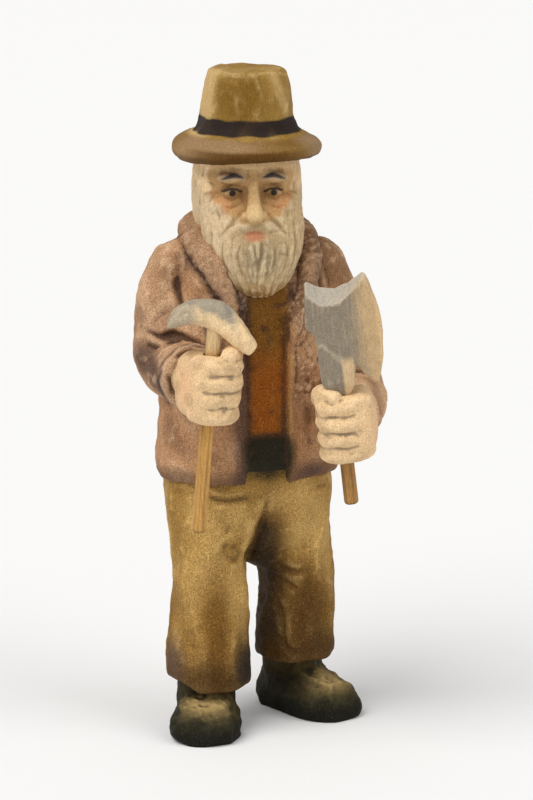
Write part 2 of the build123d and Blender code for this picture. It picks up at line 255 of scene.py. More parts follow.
def painted(thing, paint, wear=1.0):
    """Stores paint [n, 3] on the vertices for the material, with how far it is worn through."""
    layer = thing.data.color_attributes.new("paint", "FLOAT_COLOR", "POINT")
    rgba = np.ones((len(paint), 4), np.float32)
    rgba[:, :3] = np.clip(paint, 0.001, 1)
    rgba[:, 3] = wear
    layer.data.foreach_set("color", rgba.ravel())


def placed(thing, body, nodes, material):
    """Takes the piece from millimetres to its place on the CAD body and gives it its material."""
    shape(thing, points_of(thing) / MM + centre_line)
    thing.data.shade_smooth()
    thing.data.materials.append(material)
    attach(thing, body)
    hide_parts(*nodes)


def group_with(name, inputs, outputs):
    """Empty shader node group: inputs are (name, kind, value), outputs (name, kind)."""
    group = bpy.data.node_groups.new(name, "ShaderNodeTree")
    for label, kind, value in inputs:
        socket = group.interface.new_socket(label, in_out="INPUT", socket_type=kind)
        if value is not None:
            socket.default_value = value
    for label, kind in outputs:
        group.interface.new_socket(label, in_out="OUTPUT", socket_type=kind)
    group.nodes.new("NodeGroupInput")
    group.nodes.new("NodeGroupOutput")
    return group


def node(tree, kind, links=(), **values):
    """Adds a node, sets its properties or sockets by name, and links (socket, source) pairs."""
    made = tree.nodes.new(kind)
    for key, value in values.items():
        setattr(made, key, value)
    for socket, source in links:
        if isinstance(source, bpy.types.NodeSocket):
            tree.links.new(source, made.inputs[socket])
        else:
            made.inputs[socket].default_value = source
    return made


def number(tree, operation, *terms):
    """Math node of that operation on sockets or numbers; returns its result."""
    return node(tree, "ShaderNodeMath", list(enumerate(terms)), operation=operation).outputs[0]


def lime_wood_group():
    """Fibres and pores of lime wood: noise stretched along the block's height for the fibres,
    finer stretched noise for the pores, and round fine noise for the tooth of dry stain."""
    group = group_with(
        "lime_wood",
        [("Vector", "NodeSocketVector", None), ("Fibre Size", "NodeSocketFloat", 0.5)],
        [("Fibre", "NodeSocketFloat"), ("Pores", "NodeSocketFloat"), ("Tooth", "NodeSocketFloat")],
    )
    start, end = group.nodes["Group Input"], group.nodes["Group Output"]
    finer = number(group, "DIVIDE", 1000.0, start.outputs["Fibre Size"])
    stretched = node(
        group, "ShaderNodeVectorMath",
        [(0, start.outputs["Vector"]), (1, (1.0, 1.0, 0.09))], operation="MULTIPLY",
    )
    fibre = node(
        group, "ShaderNodeTexNoise",
        [("Vector", stretched.outputs[0]), ("Scale", finer), ("Detail", 5.0), ("Roughness", 0.65)],
    )
    short = node(
        group, "ShaderNodeVectorMath",
        [(0, start.outputs["Vector"]), (1, (1.0, 1.0, 0.55))], operation="MULTIPLY",
    )
    pore = node(
        group, "ShaderNodeTexNoise",
        [("Vector", short.outputs[0]), ("Scale", 3100.0), ("Detail", 2.0), ("Roughness", 0.6)],
    )
    pits = node(
        group, "ShaderNodeMapRange",
        [("Value", pore.outputs["Fac"]), ("From Min", 0.56), ("From Max", 0.72)],
    )
    tooth = node(
        group, "ShaderNodeTexNoise",
        [("Vector", start.outputs["Vector"]), ("Scale", 2500.0), ("Detail", 3.0), ("Roughness", 0.7)],
    )
    group.links.new(fibre.outputs["Fac"], end.inputs["Fibre"])
    group.links.new(pits.outputs[0], end.inputs["Pores"])
    group.links.new(tooth.outputs["Fac"], end.inputs["Tooth"])
    return group


def stain_group():
    """Water stain on raw wood: paint is darker along fibres and in pores and thinner, towards
    bare wood, on the tooth's tips. Height is the raised grain for a bump."""
    group = group_with(
        "stain",
        [
            ("Paint", "NodeSocketColor", None),
            ("Fibre", "NodeSocketFloat", 0.5),
            ("Pores", "NodeSocketFloat", 0.0),
            ("Tooth", "NodeSocketFloat", 0.5),
            ("Wear", "NodeSocketFloat", 1.0),
            ("Streaks", "NodeSocketFloat", 0.5),
            ("Speckle", "NodeSocketFloat", 0.3),
        ],
        [("Color", "NodeSocketColor"), ("Roughness", "NodeSocketFloat"), ("Height", "NodeSocketFloat")],
    )
    start, end = group.nodes["Group Input"], group.nodes["Group Output"]
    off_middle = number(group, "SUBTRACT", start.outputs["Fibre"], 0.5)
    streak_swing = number(group, "MULTIPLY", start.outputs["Streaks"], 2.6)
    streak = number(group, "MULTIPLY_ADD", off_middle, streak_swing, 1.0)
    off_level = number(group, "SUBTRACT", start.outputs["Tooth"], 0.5)
    grain_swing = number(group, "MULTIPLY", start.outputs["Speckle"], 3.9)
    grain = number(group, "MULTIPLY_ADD", off_level, grain_swing, 1.0)
    pit_shade = number(group, "MULTIPLY", start.outputs["Speckle"], 0.6)
    pitted = number(group, "MULTIPLY", start.outputs["Pores"], pit_shade)
    shade = number(group, "MULTIPLY", streak, number(group, "SUBTRACT", grain, pitted))
    tinted = node(
        group, "ShaderNodeVectorMath",
        [(0, start.outputs["Paint"]), ("Scale", shade)], operation="SCALE",
    )
    tips = node(
        group, "ShaderNodeMapRange",
        [("Value", start.outputs["Tooth"]), ("From Min", 0.58), ("From Max", 0.72)],
    )
    worn = number(group, "MULTIPLY", start.outputs["Speckle"], start.outputs["Wear"])
    thin = number(group, "MULTIPLY", tips.outputs[0], number(group, "MULTIPLY", worn, 0.27))
    bare = node(
        group, "ShaderNodeMix",
        [("Factor", thin), (6, tinted.outputs[0]), (7, (0.62, 0.46, 0.28, 1))], data_type="RGBA",
    )
    group.links.new(bare.outputs[2], end.inputs["Color"])
    rough = number(group, "MULTIPLY_ADD", start.outputs["Tooth"], 0.25, 0.52)
    group.links.new(rough, end.inputs["Roughness"])
    pit_depth = number(group, "MULTIPLY", start.outputs["Pores"], 0.6)
    fibre_rise = number(group, "MULTIPLY", start.outputs["Fibre"], 0.8)
    rise = number(group, "ADD", fibre_rise, start.outputs["Tooth"])
    group.links.new(number(group, "SUBTRACT", rise, pit_depth), end.inputs["Height"])
    return group


lime_wood = lime_wood_group()
stain = stain_group()


def stained_wood(name, fibre_size, streaks, speckle, bump_mm):
    """Material: the paint stored on the vertices as a water stain on lime wood."""
    material = bpy.data.materials.new(name)
    material.use_nodes = True
    tree = material.node_tree
    shader = tree.nodes["Principled BSDF"]
    shader.inputs["Specular IOR Level"].default_value = 0.10
    place = node(tree, "ShaderNodeTexCoord")
    layer = node(tree, "ShaderNodeVertexColor", layer_name="paint")
    wood = node(tree, "ShaderNodeGroup", node_tree=lime_wood)
    tree.links.new(place.outputs["Object"], wood.inputs["Vector"])
    wood.inputs["Fibre Size"].default_value = fibre_size
    coat = node(tree, "ShaderNodeGroup", node_tree=stain)
    coat.inputs["Streaks"].default_value = streaks
    coat.inputs["Speckle"].default_value = speckle
    tree.links.new(layer.outputs["Color"], coat.inputs["Paint"])
    tree.links.new(layer.outputs["Alpha"], coat.inputs["Wear"])
    for output in ("Fibre", "Pores", "Tooth"):
        tree.links.new(wood.outputs[output], coat.inputs[output])
    bump = node(
        tree, "ShaderNodeBump",
        [("Height", coat.outputs["Height"]), ("Strength", 0.6), ("Distance", bump_mm / MM)],
    )
    tree.links.new(coat.outputs["Color"], shader.inputs["Base Color"])
    tree.links.new(coat.outputs["Roughness"], shader.inputs["Roughness"])
    tree.links.new(bump.outputs["Normal"], shader.inputs["Normal"])
    return material


hat_profile = [
    (0.4, 165.6), (9.0, 165.6), (17.6, 165.6), (20.0, 165.8), (20.9, 166.8), (20.8, 168.1),
    (19.6, 169.4), (17.2, 170.7), (15.0, 171.9), (14.0, 173.2), (13.4, 175.8), (12.6, 180.0),
    (11.8, 184.5), (11.3, 187.4), (10.6, 188.9), (8.6, 189.5), (4.0, 189.6), (0.4, 189.6),
]
hat_turns = np.linspace(0, 2 * math.pi, 300, endpoint=False)
profile = curve(hat_profile, 170)
radius, height = profile[:, 0][:, None], profile[:, 1][:, None]
on_brim = ramp(radius, 15.0, 20.0)
droop = 0.7 * np.cos(2 * (hat_turns - 0.5)) + 0.35 * np.cos(3 * hat_turns + 1.0)
hat_rings = np.stack(
    [
        radius * np.sin(hat_turns) * (1 + 0.012 * np.cos(2 * hat_turns)),
        -radius * np.cos(hat_turns) * (1 - 0.012 * np.cos(2 * hat_turns)) + hat_setback,
        height + on_brim * droop * 0.8,
    ],
    -1,
)
hat = piece_from("carved_hat", *skin(hat_rings))
knife_facets(hat, spacing=8.0, depth=0.45, seed=11, share=0.9)
p = points_of(hat)
n = normals_of(hat)
shape(hat, p + n * (0.10 * cloud(p, 5.0, 12) + 0.05 * cloud(p, 2.0, 13))[:, None])
soften(hat, 1)

ochre = (0.300, 0.174, 0.038)
ochre_light = (0.50, 0.335, 0.135)
ochre_dark = (0.175, 0.088, 0.010)
band_black = (0.016, 0.011, 0.013)
band_bottom, band_top = 172.2, 176.4
p, n = points_of(hat), normals_of(hat)
flat_radius = np.hypot(p[:, 0], p[:, 1] - hat_setback)
bearing = np.degrees(np.arctan2(p[:, 0], hat_setback - p[:, 1]))
patchy = cloud(p, 9.0, 14)
paint = np.tile(ochre, (len(p), 1))
paint = mixed(paint, ochre_light, 0.30 * ramp(patchy, 0.1, 1.2))
dark_face = np.exp(-(((bearing + 26) / 33) ** 2 + ((p[:, 2] - 182.0) / 8.0) ** 2) ** 1.5)
paint = mixed(paint, ochre_dark, 0.90 * dark_face * ramp(flat_radius, 9.5, 11.0))
on_side = ramp(flat_radius, 8.0, 11.0)
# Painted highlight on the crown's side at the figure's right.
paint = mixed(paint, (0.62, 0.42, 0.18), 0.8 * on_side * ramp(-bearing, 56, 76) * ramp(140 + bearing, 0, 20))
paint = mixed(paint, ochre_dark, 0.35 * ramp(-patchy, 0.3, 1.2))
# Painted highlight: a light strip down the crown's front towards the figure's left.
highlight_line = np.exp(-(((bearing - 30 - 1.6 * (184 - p[:, 2])) / 9) ** 2)) * ramp(p[:, 2], 175.5, 178) * on_side
paint = mixed(paint, ochre_light, 0.7 * highlight_line)
# Painted highlight on the sharp edges of crown and brim.
paint = mixed(paint, (0.58, 0.40, 0.17), 0.6 * ramp(-hollow_of(hat, 30, 0.30), 0.15, 0.9))
on_top = ramp(flat_radius, 15.0, 17.0) * ramp(172.6 - p[:, 2], 0, 2.0)
paint = mixed(paint, (0.165, 0.080, 0.014), 0.80 * on_top)
# Painted highlights on the brim's top: towards the figure's right and front, and on its left.
brim_highlight_right = ramp(-bearing, -10, 30) * ramp(110 + bearing, 0, 30)
paint = mixed(paint, (0.34, 0.215, 0.115), 0.7 * on_top * brim_highlight_right)
paint = mixed(paint, (0.34, 0.235, 0.140), 0.6 * on_top * ramp(bearing, 20, 50) * ramp(150 - bearing, 0, 40))
rim_front = ramp(169.2 - p[:, 2], 0, 1.2) * ramp(flat_radius, 17, 19)
paint = mixed(paint, (0.100, 0.038, 0.003), 0.92 * rim_front * np.exp(-(((bearing + 22) / 44) ** 4)))
# Painted shade under the brim.
paint = mixed(paint, (0.10, 0.050, 0.010), 0.6 * ramp(167.2 - p[:, 2], 0, 1.4))
wander = 0.16 * cloud(p, 6.0, 15)
in_band = ramp(p[:, 2] + wander, band_bottom - 0.25, band_bottom + 0.25)
in_band *= ramp(band_top - p[:, 2] + wander, -0.25, 0.25) * ramp(16.2 - flat_radius, 0, 0.5)
paint = mixed(paint, band_black, in_band * (0.96 - 0.12 * ramp(patchy, 0.2, 1)))
painted(hat, paint, (0.6 - 0.5 * in_band) * (1 - rim_front))
hat_stain = stained_wood("ochre_stain", fibre_size=0.55, streaks=0.22, speckle=0.34, bump_mm=0.14)
placed(hat, "figure", ["hat"], hat_stain)


# ---------------------------------------------------------------- head
# Head, hair and full beard carved from one block that is pegged up into the hat. The face looks
# 13 degrees to the figure's right, so it is carved square on and turned when it is finished.
def powered(wave, power):
    """The wave's size raised to power, with its sign kept."""
    return np.sign(wave) * np.abs(wave) ** power


def ovals(rows, count=60, columns=120, power=2.0):
    """Rings through rows (x, y, z, half width, half depth): x = w cos a, y = d sin a, each raised
    to 2 / power, so that power 2 is an ellipse and more is squarer. Splined to count rings."""
    line = curve(rows, count)
    a = np.linspace(0, 2 * math.pi, columns, endpoint=False)
    c, s = powered(np.cos(a), 2 / power), powered(np.sin(a), 2 / power)
    x = line[:, 0][:, None] + line[:, 3][:, None] * c
    y = line[:, 1][:, None] + line[:, 4][:, None] * s
    return np.stack([x, y, np.broadcast_to(line[:, 2][:, None], x.shape)], -1)


def limb(rows, across=(1.0, 0.0, 0.0), count=48, columns=40, flat_end=False):
    """Round limb along the spline through rows (x, y, z, radius). Each end is a half ball, but
    with flat_end the last is cut square with its edge just broken."""
    line = curve(rows, count)
    middle, radius = line[:, :3], line[:, 3]
    along = np.gradient(middle, axis=0)
    along /= np.linalg.norm(along, axis=1)[:, None]
    cap = np.linspace(0.06, math.pi / 2, 9)[:-1]
    first = middle[0] - along[0] * radius[0] * np.cos(cap)[:, None]
    last = middle[-1] + along[-1] * radius[-1] * np.cos(cap[::-1])[:, None]
    first_radius, last_radius = radius[0] * np.sin(cap), radius[-1] * np.sin(cap[::-1])
    if flat_end:
        last = middle[-1] + along[-1] * np.array([0.15, 0.3, 0.3, 0.3])[:, None]
        last_radius = radius[-1] * np.array([0.98, 0.95, 0.6, 0.2])
    way = np.vstack([np.tile(along[0], (len(first), 1)), along, np.tile(along[-1], (len(last), 1))])
    middle, radius = np.vstack([first, middle, last]), np.concatenate([first_radius, radius, last_radius])
    side = np.asarray(across, float) - way * (way @ np.asarray(across, float))[:, None]
    side /= np.linalg.norm(side, axis=1)[:, None]
    other = np.cross(way, side)
    a = np.linspace(0, 2 * math.pi, columns, endpoint=False)[None, :, None]
    ring = side[:, None] * np.cos(a) + other[:, None] * np.sin(a)
    return middle[:, None] + ring * radius[:, None, None]


def lump(centre, half, power=2.0):
    """Egg with those half sizes: an ellipsoid for power 2 and squarer above it."""
    rise = np.linspace(-math.pi / 2 + 0.05, math.pi / 2 - 0.05, 40)[:, None]
    a = np.linspace(0, 2 * math.pi, 64, endpoint=False)[None]
    lift = powered(np.sin(rise), 2 / power)
    reach = np.cos(rise) ** (2 / power)
    c, s = powered(np.cos(a), 2 / power), powered(np.sin(a), 2 / power)
    unit = np.stack([reach * c, reach * s, lift * np.ones_like(a)], -1)
    return np.asarray(centre) + unit * np.asarray(half)


def fused(name, shells, grain, drill=None):
    """One skin round all the shells, kept as squares of grain millimetres: the shells are joined
    and remeshed by volume. drill is (foot, top, radius) of a hole bored through it."""
    points, faces, base = [], [], 0
    for shell in shells:
        shell_points, shell_faces = skin(shell)
        points.append(shell_points)
        faces += [[base + corner for corner in face] for face in shell_faces]
        base += len(shell_points)
    thing = piece_from(name, np.vstack(points), faces)
    steps = [("REMESH", None)]
    if drill:
        foot, top, radius = drill
        bit = piece_from(name + "_bit", *skin(limb([(*foot, radius), (*top, radius)], (1, 0.3, 0))))
        steps += [("BOOLEAN", bit), ("REMESH", None)]
    for kind, cutter in steps:
        step = thing.modifiers.new(kind.lower(), kind)
        if kind == "REMESH":
            step.mode = "VOXEL"
            step.voxel_size = grain
        else:
            step.operation = "DIFFERENCE"
            step.object = cutter
    whole = bpy.data.meshes.new_from_object(thing.evaluated_get(bpy.context.evaluated_depsgraph_get()))
    thing.modifiers.clear()
    thing.data = whole
    if drill:
        bpy.data.objects.remove(bit)
    return thing


def near(points, path, count=14):
    """Distance of each point to the spline through path, and how far along it is, 0 to 1."""
    line = curve(path, count)
    best = np.full(len(points), np.inf)
    share = np.zeros(len(points))
    for i in range(count - 1):
        step = line[i + 1] - line[i]
        t = np.clip((points - line[i]) @ step / (step @ step), 0, 1)
        gap = ((points - line[i] - t[:, None] * step) ** 2).sum(1)
        closer = gap < best
        best = np.where(closer, gap, best)
        share = np.where(closer, (i + t) / (count - 1), share)
    return np.sqrt(best), share


def carve(thing, cuts, facing=(0.0, -1.0, 0.0)):
    """Gouge cuts and folds drawn on the face that looks along facing. Each is (path in x and z,
    half width, depth); it fades out at both ends, and a fold lifts a little on each side."""
    points, normals = points_of(thing), normals_of(thing)
    seen = ramp(normals @ np.asarray(facing), 0.05, 0.45)
    move = np.zeros(len(points))
    for path, width, depth in cuts:
        gap, share = near(points[:, [0, 2]], path)
        ends = np.sqrt(np.clip(np.sin(math.pi * np.clip(share, 0.02, 0.98)), 0, 1))
        groove = np.exp(-((gap / width) ** 2))
        banks = np.exp(-(((gap - 2.0 * width) / width) ** 2))
        move += depth * ends * (0.18 * banks - groove)
    shape(thing, points + normals * (move * seen)[:, None])


def mirrored(rows):
    """The rows with x turned round, for the other side."""
    return [(-row[0], *row[1:]) for row in rows]


def oval(p, across, up, wide, tall, power=1.0):
    """1 in the middle of a soft oval seen from the front, fading to 0 outside its half sizes; a
    larger power gives it a firmer edge."""
    return np.exp(-((((p[:, 0] - across) / wide) ** 2 + ((p[:, 2] - up) / tall) ** 2) ** power))


def gouged(phase):
    """Row of rounded ridges with sharp valleys at whole numbers of phase: height -0.5 to 0.5."""
    return np.abs(np.sin(math.pi * phase)) ** 0.7 - 0.5


skull = [(0, 2, 138, 9.5, 9.0), (0, 1.2, 143, 12.2, 12.2), (0, 0.6, 149, 13.7, 13.9),
         (0, 0.5, 155, 14.4, 14.6), (0, 0.5, 161, 14.5, 14.6), (0, 0.5, 165.4, 14.5, 14.5)]
beard = [(1.4, -14.6, 127.4, 3.0, 2.4), (1.3, -15.0, 129.4, 6.2, 4.2), (1.1, -13.4, 133, 9.8, 6.4),
         (0.8, -10.8, 138, 12.6, 8.6), (0.6, -9.0, 143, 14.2, 9.6), (0.4, -7.4, 149, 14.4, 9.4),
         (0.2, -4.6, 155, 13.6, 8.6)]
nose = [(0, -13.6, 159.0, 1.5), (0, -14.9, 156.0, 1.7), (0, -16.6, 152.8, 2.1), (0, -17.4, 150.6, 2.5)]
lip_hair = [(0.9, -16.6, 148.0, 1.7), (4.0, -15.8, 147.0, 2.1), (7.4, -13.6, 144.4, 2.2),
            (9.8, -12.0, 140.4, 1.7)]
head_shells = [
    ovals(skull), ovals(beard), limb(nose, count=24),
    limb(lip_hair, (0, 0, 1)), limb(mirrored(lip_hair), (0, 0, 1)),
    lump((0, -15.2, 144.3), (3.6, 2.0, 1.3)), lump((0, -13.8, 140.0), (6.4, 3.6, 3.4)),
]
for side in (-1, 1):
    head_shells += [
        lump((side * 2.3, -15.6, 150.2), (1.7, 2.2, 1.5)),
        lump((side * 7.4, -10.6, 152.2), (4.6, 3.8, 3.8)),
        lump((side * 5.8, -12.6, 160.6), (4.4, 2.2, 1.5)),
        lump((side * 5.8, -12.0, 156.7), (2.7, 2.0, 1.7)),
        lump((side * 13.0, 1.5, 154.0), (2.4, 8.6, 12.5)),
    ]
head_shells.append(lump((0, 4.2, 152.5), (12.8, 10.8, 13.0)))
head = fused("carved_head", head_shells, 0.27)
soften(head, 5)
side_cuts = [
    ([(2.6, 158.8), (2.9, 156.2), (3.0, 153.4)], 0.9, 0.75),
    ([(3.4, 151.6), (5.2, 149.6), (7.6, 146.8), (9.6, 144.6)], 0.55, 0.55),
    ([(3.2, 158.2), (5.8, 158.7), (8.6, 157.6)], 0.40, 0.55),
    ([(3.4, 155.3), (5.8, 154.5), (8.4, 155.4)], 0.40, 0.40),
    ([(4.0, 153.6), (6.4, 152.4), (8.8, 152.8)], 0.45, 0.28),
    ([(9.4, 157.4), (11.0, 158.4), (12.4, 158.8)], 0.35, 0.25),
    ([(9.6, 156.4), (11.4, 156.0), (12.6, 155.4)], 0.35, 0.25),
    ([(1.4, 160.6), (1.6, 162.6)], 0.40, 0.35),
]
middle_cuts = [
    ([(-7.0, 163.4), (0.0, 162.9), (7.0, 163.4)], 0.45, 0.25),
    ([(-2.6, 145.4), (0.0, 145.8), (2.6, 145.4)], 0.35, 0.45),
]
carve(head, side_cuts)
carve(head, [(mirrored(path), width, depth) for path, width, depth in side_cuts] + middle_cuts)
beard_locks = [
    ([(2.0, 143.0), (1.4, 139.0), (0.6, 135.4)], 0.5, 0.42),
    ([(-0.6, 143.0), (0.2, 139.0), (0.6, 135.4)], 0.5, 0.42),
    ([(5.0, 143.4), (5.6, 138.0), (3.4, 131.6)], 0.55, 0.45),
    ([(-4.0, 143.4), (-5.0, 138.0), (-2.6, 131.6)], 0.55, 0.45),
    ([(8.6, 143.6), (9.4, 138.4), (6.6, 132.4)], 0.55, 0.45),
    ([(-8.2, 143.6), (-9.0, 138.4), (-5.8, 132.4)], 0.55, 0.45),
    ([(11.2, 148.0), (12.2, 142.0), (10.2, 136.0)], 0.55, 0.45),
    ([(-11.0, 148.0), (-12.0, 142.0), (-9.6, 136.0)], 0.55, 0.45),
    ([(3.0, 138.4), (3.2, 134.6), (1.8, 130.6)], 0.4, 0.3),
    ([(-2.2, 138.0), (-2.0, 134.0), (-0.2, 130.0)], 0.4, 0.3),
]
carve(head, beard_locks)
p, n = points_of(head), normals_of(head)
cheek_line = 148.6 + 0.046 * p[:, 0] ** 2
in_beard = ramp(cheek_line - p[:, 2] + 0.5 * cloud(p, 2.0, 25), -1.2, 1.6) * ramp(-n[:, 1], -0.3, 0.2)
in_beard *= ramp(1.0 - p[:, 1], -3, 0)
lips = oval(p, 0.0, 144.9, 3.0, 1.5, 2) * ramp(-p[:, 1], 12, 14)
on_nose = oval(p, 0.0, 151.4, 3.6, 2.6, 2)
in_beard = in_beard * (1 - lips) * (1 - on_nose)
hair_edge = 11.2 + 0.5 * np.cos(p[:, 2] * 0.9)
in_hair = np.maximum(ramp(np.abs(p[:, 0]), hair_edge, hair_edge + 1.0), ramp(p[:, 1], -3.0, 0.0))
in_hair *= 1 - in_beard
spread = np.interp(p[:, 2], [127, 133, 141, 149, 156], [6.0, 10.5, 14.0, 14.8, 15.2])
swirl = cloud(p, (6.0, 6.0, 15.0), 21)
locks = (p[:, 0] - 0.8) / spread * 14 / 3.5 + 0.30 * swirl
strands = (p[:, 0] - 0.8) / spread * 14 / 1.15 + 0.8 * swirl + 0.25 * cloud(p, 2.5, 22)
lip_gap = np.minimum(*[near(p, [row[:3] for row in rows])[0] for rows in (lip_hair, mirrored(lip_hair))])
on_lip = ramp(3.2 - lip_gap, 0, 0.8) * in_beard
tufts = 0.30 * gouged(locks) + 0.17 * gouged(strands)
tufts = tufts * (1 - on_lip) + on_lip * 0.22 * gouged(lip_gap / 1.0 + 0.3 * swirl + p[:, 0] * 0.12)
turn_round = np.arctan2(p[:, 0], p[:, 1]) * 15.0
combed = 0.30 * gouged(turn_round / 3.0 + 0.3 * swirl) + 0.15 * gouged(turn_round / 1.1 + 0.6 * swirl)
rough = 0.05 * cloud(p, 1.6, 23)
shape(head, p + n * (in_beard * tufts + in_hair * combed + rough)[:, None])
knife_facets(head, spacing=2.4, depth=0.10, seed=24, share=0.5)
soften(head, 1)

p, n = points_of(head), normals_of(head)
deep = hollow_of(head, 14, 0.16)
wide_deep = hollow_of(head, 60, 0.7)
skin_tone = (0.50, 0.30, 0.125)
paint = np.tile(skin_tone, (len(p), 1))
# Painted highlight on the head's broad raised parts.
paint = mixed(paint, (0.70, 0.48, 0.24), 0.5 * ramp(-wide_deep, 0.0, 0.8))
flush = np.exp(-(((np.abs(p[:, 0]) - 9.2) / 3.2) ** 2 + ((p[:, 2] - 152.6) / 2.8) ** 2))
paint = mixed(paint, (0.60, 0.22, 0.085), 0.62 * flush)
socket_shade = np.exp(-(((np.abs(p[:, 0]) - 4.6) / 3.4) ** 2 + ((p[:, 2] - 156.4) / 2.4) ** 2))
paint = mixed(paint, (0.165, 0.078, 0.022), 0.74 * socket_shade)
# Painted light on the top of the forehead, in the shadow of the brim.
paint = mixed(paint, (0.78, 0.54, 0.28), 0.70 * ramp(p[:, 2], 161.0, 163.6))
# Painted highlight on the ridge of the nose.
paint = mixed(paint, (0.68, 0.48, 0.24), 0.7 * on_nose * ramp(-deep, -0.2, 0.5))
cream = (0.52, 0.375, 0.20)
paint = mixed(paint, cream, 0.96 * in_beard)
grey_middle = oval(p, 1.0, 138.5, 6.5, 6.5)
paint = mixed(paint, (0.225, 0.180, 0.115), 0.78 * grey_middle * in_beard)
# Painted shade in the beard under the nose.
under_nose = oval(p, 0.0, 147.6, 5.0, 1.8)
paint = mixed(paint, (0.40, 0.29, 0.16), 0.5 * under_nose * in_beard)
paint = mixed(paint, (0.33, 0.175, 0.045), 0.85 * ramp(133.0 - p[:, 2], 0, 4.0) * in_beard)
lit_side = ramp(-p[:, 0], 3.0, 10.0) * in_beard
paint = mixed(paint, (0.68, 0.52, 0.34), 0.6 * lit_side)
paint = mixed(paint, (0.92, 0.67, 0.39), 0.96 * in_hair)
paint = mixed(paint, (0.36, 0.21, 0.09), 0.50 * in_hair * ramp(swirl, 0.1, 1.0))
# Painted shade in the grooves of beard, hair and face; painted highlights on the ridges of beard and hair.
paint = mixed(paint, (0.185, 0.112, 0.050), 0.50 * ramp(deep, 0.10, 0.85) * np.maximum(in_beard, in_hair))
paint = mixed(paint, (0.25, 0.165, 0.085), 0.36 * ramp(-gouged(strands), 0.0, 0.5) * in_beard)
paint = mixed(paint, (0.25, 0.13, 0.05), 0.6 * ramp(deep, 0.15, 0.9) * (1 - np.maximum(in_beard, in_hair)))
paint = mixed(paint, (0.68, 0.53, 0.33), 0.6 * ramp(-deep, 0.1, 0.8) * np.maximum(in_beard, in_hair))
paint = mixed(paint, (0.47, 0.17, 0.10), 0.75 * lips)
in_front = ramp(-n[:, 1], 0.0, 0.3)
eye_out, eye_high, lid_high = 5.8, 156.5, 157.4
for side in (-1, 1):
    flat = np.stack([p[:, 0] * side, p[:, 2]], 1)
    brow, share = near(flat, [(3.0, 160.9), (5.6, 161.5), (8.8, 160.5)])
    paint = mixed(paint, (0.27, 0.225, 0.18), 0.40 * ramp(1.9 - brow, 0, 1.6) * in_front)
    stroke = 0.58 * np.sqrt(np.clip(np.sin(math.pi * np.clip(share, 0.05, 0.95)), 0, 1))
    paint = mixed(paint, (0.045, 0.040, 0.050), 0.93 * ramp(stroke - brow, -0.25, 0.25) * in_front)
    lid, _ = near(flat, [(3.3, 156.8), (4.7, 157.5), (6.5, 157.6), (8.5, 156.8)])
    paint = mixed(paint, (0.03, 0.02, 0.018), 0.95 * ramp(0.34 - lid, -0.2, 0.2) * in_front)
    pupil = np.hypot(flat[:, 0] - eye_out, flat[:, 1] - eye_high)
    pupil = np.where(flat[:, 1] > lid_high, 3.0, pupil)
    paint = mixed(paint, (0.018, 0.014, 0.014), 0.97 * ramp(0.95 - pupil, -0.2, 0.2) * in_front)
painted(head, paint)
head_turn = math.radians(-13)
spun = p.copy()
spun[:, 0] = p[:, 0] * math.cos(head_turn) - p[:, 1] * math.sin(head_turn)
spun[:, 1] = p[:, 0] * math.sin(head_turn) + p[:, 1] * math.cos(head_turn)
shape(head, spun)
skin_stain = stained_wood("skin_stain", fibre_size=0.5, streaks=0.22, speckle=0.30, bump_mm=0.10)
placed(head, "figure", ["head", "hat_peg"], skin_stain)


# ---------------------------------------------------------------- coat with sleeves, shirt and belt
# Coat body, rolled shawl collar and both bent sleeves, glued up and carved over as one, with the
# shirt cut back between the fronts and a belt buckle patch. Brown stain, with painted shade in the folds.
coat_body = [(0, 0, 73.6, 23.6, 15.6), (0, 0, 74.4, 25.6, 17.2), (0, 0, 78, 26.8, 18.2),
             (0, 0, 86, 26.2, 18.0), (0, 0, 96, 25.2, 17.2), (0, 0, 112, 24.4, 16.8), (0, 0, 126, 24.0, 16.2),
             (-0.3, 0.5, 136, 21.6, 14.4), (-0.5, 1.0, 142, 17.0, 12.4), (-0.5, 1.0, 146, 13.5, 11.0)]
collar = [(-7.4, -16.6, 113, 1.0), (-8.9, -17.0, 120, 1.6), (-11.8, -15.4, 128.6, 2.4),
          (-14.8, -11.0, 136.6, 3.3), (-16.0, -3.2, 140.6, 3.8), (-14.6, 6.0, 143.2, 3.9),
          (-8.2, 12.2, 145.0, 3.8), (0, 14.0, 145.6, 3.8)]
collar += mirrored(collar[-2::-1])
right_sleeve = [(-19.8, 2.0, 133.0, 8.8), (-22.2, 2.4, 126, 9.2), (-23.6, 3.2, 117, 8.4),
                (-23.9, 2.6, 109.5, 8.6), (-23.4, -3.0, 106.2, 8.6), (-22.6, -10, 105.8, 8.7),
                (-21.9, -15.8, 105.8, 8.9)]
left_sleeve = [(20.6, 1.0, 131.4, 8.8), (23.0, 0.4, 124, 9.2), (25.6, -2.8, 114, 8.4),
               (28.2, -6.6, 102.5, 8.5), (28.0, -12.6, 96.6, 8.6), (24.2, -20.6, 95.6, 8.8),
               (19.3, -28.8, 95.3, 9.0)]
coat = fused(
    "carved_coat",
    [
        ovals(coat_body, 80, 160, 2.25), limb(collar, (0, 0, 1), 120, 36),
        limb(right_sleeve, (1, 0, 0), 80, 60, True), limb(left_sleeve, (1, 0, 0), 80, 60, True),
    ],
    0.46,
)
soften(coat, 2)
knife_facets(coat, spacing=8.0, depth=0.40, seed=31, share=0.8)
p, n = points_of(coat), normals_of(coat)
front = ramp(-n[:, 1], 0.2, 0.6)
on_body = ramp(p[:, 1], -21.5, -19.8)
opening = ramp(6.3 - np.abs(p[:, 0]), -0.3, 0.5) * ramp(130.0 - p[:, 2], 0, 14) * front * on_body
belt_gap = ((np.abs(p[:, 0]) / 6.5) ** 4 + (np.abs(p[:, 2] - 81.8) / 5.1) ** 4) ** 0.25 * 5.6 - 5.6
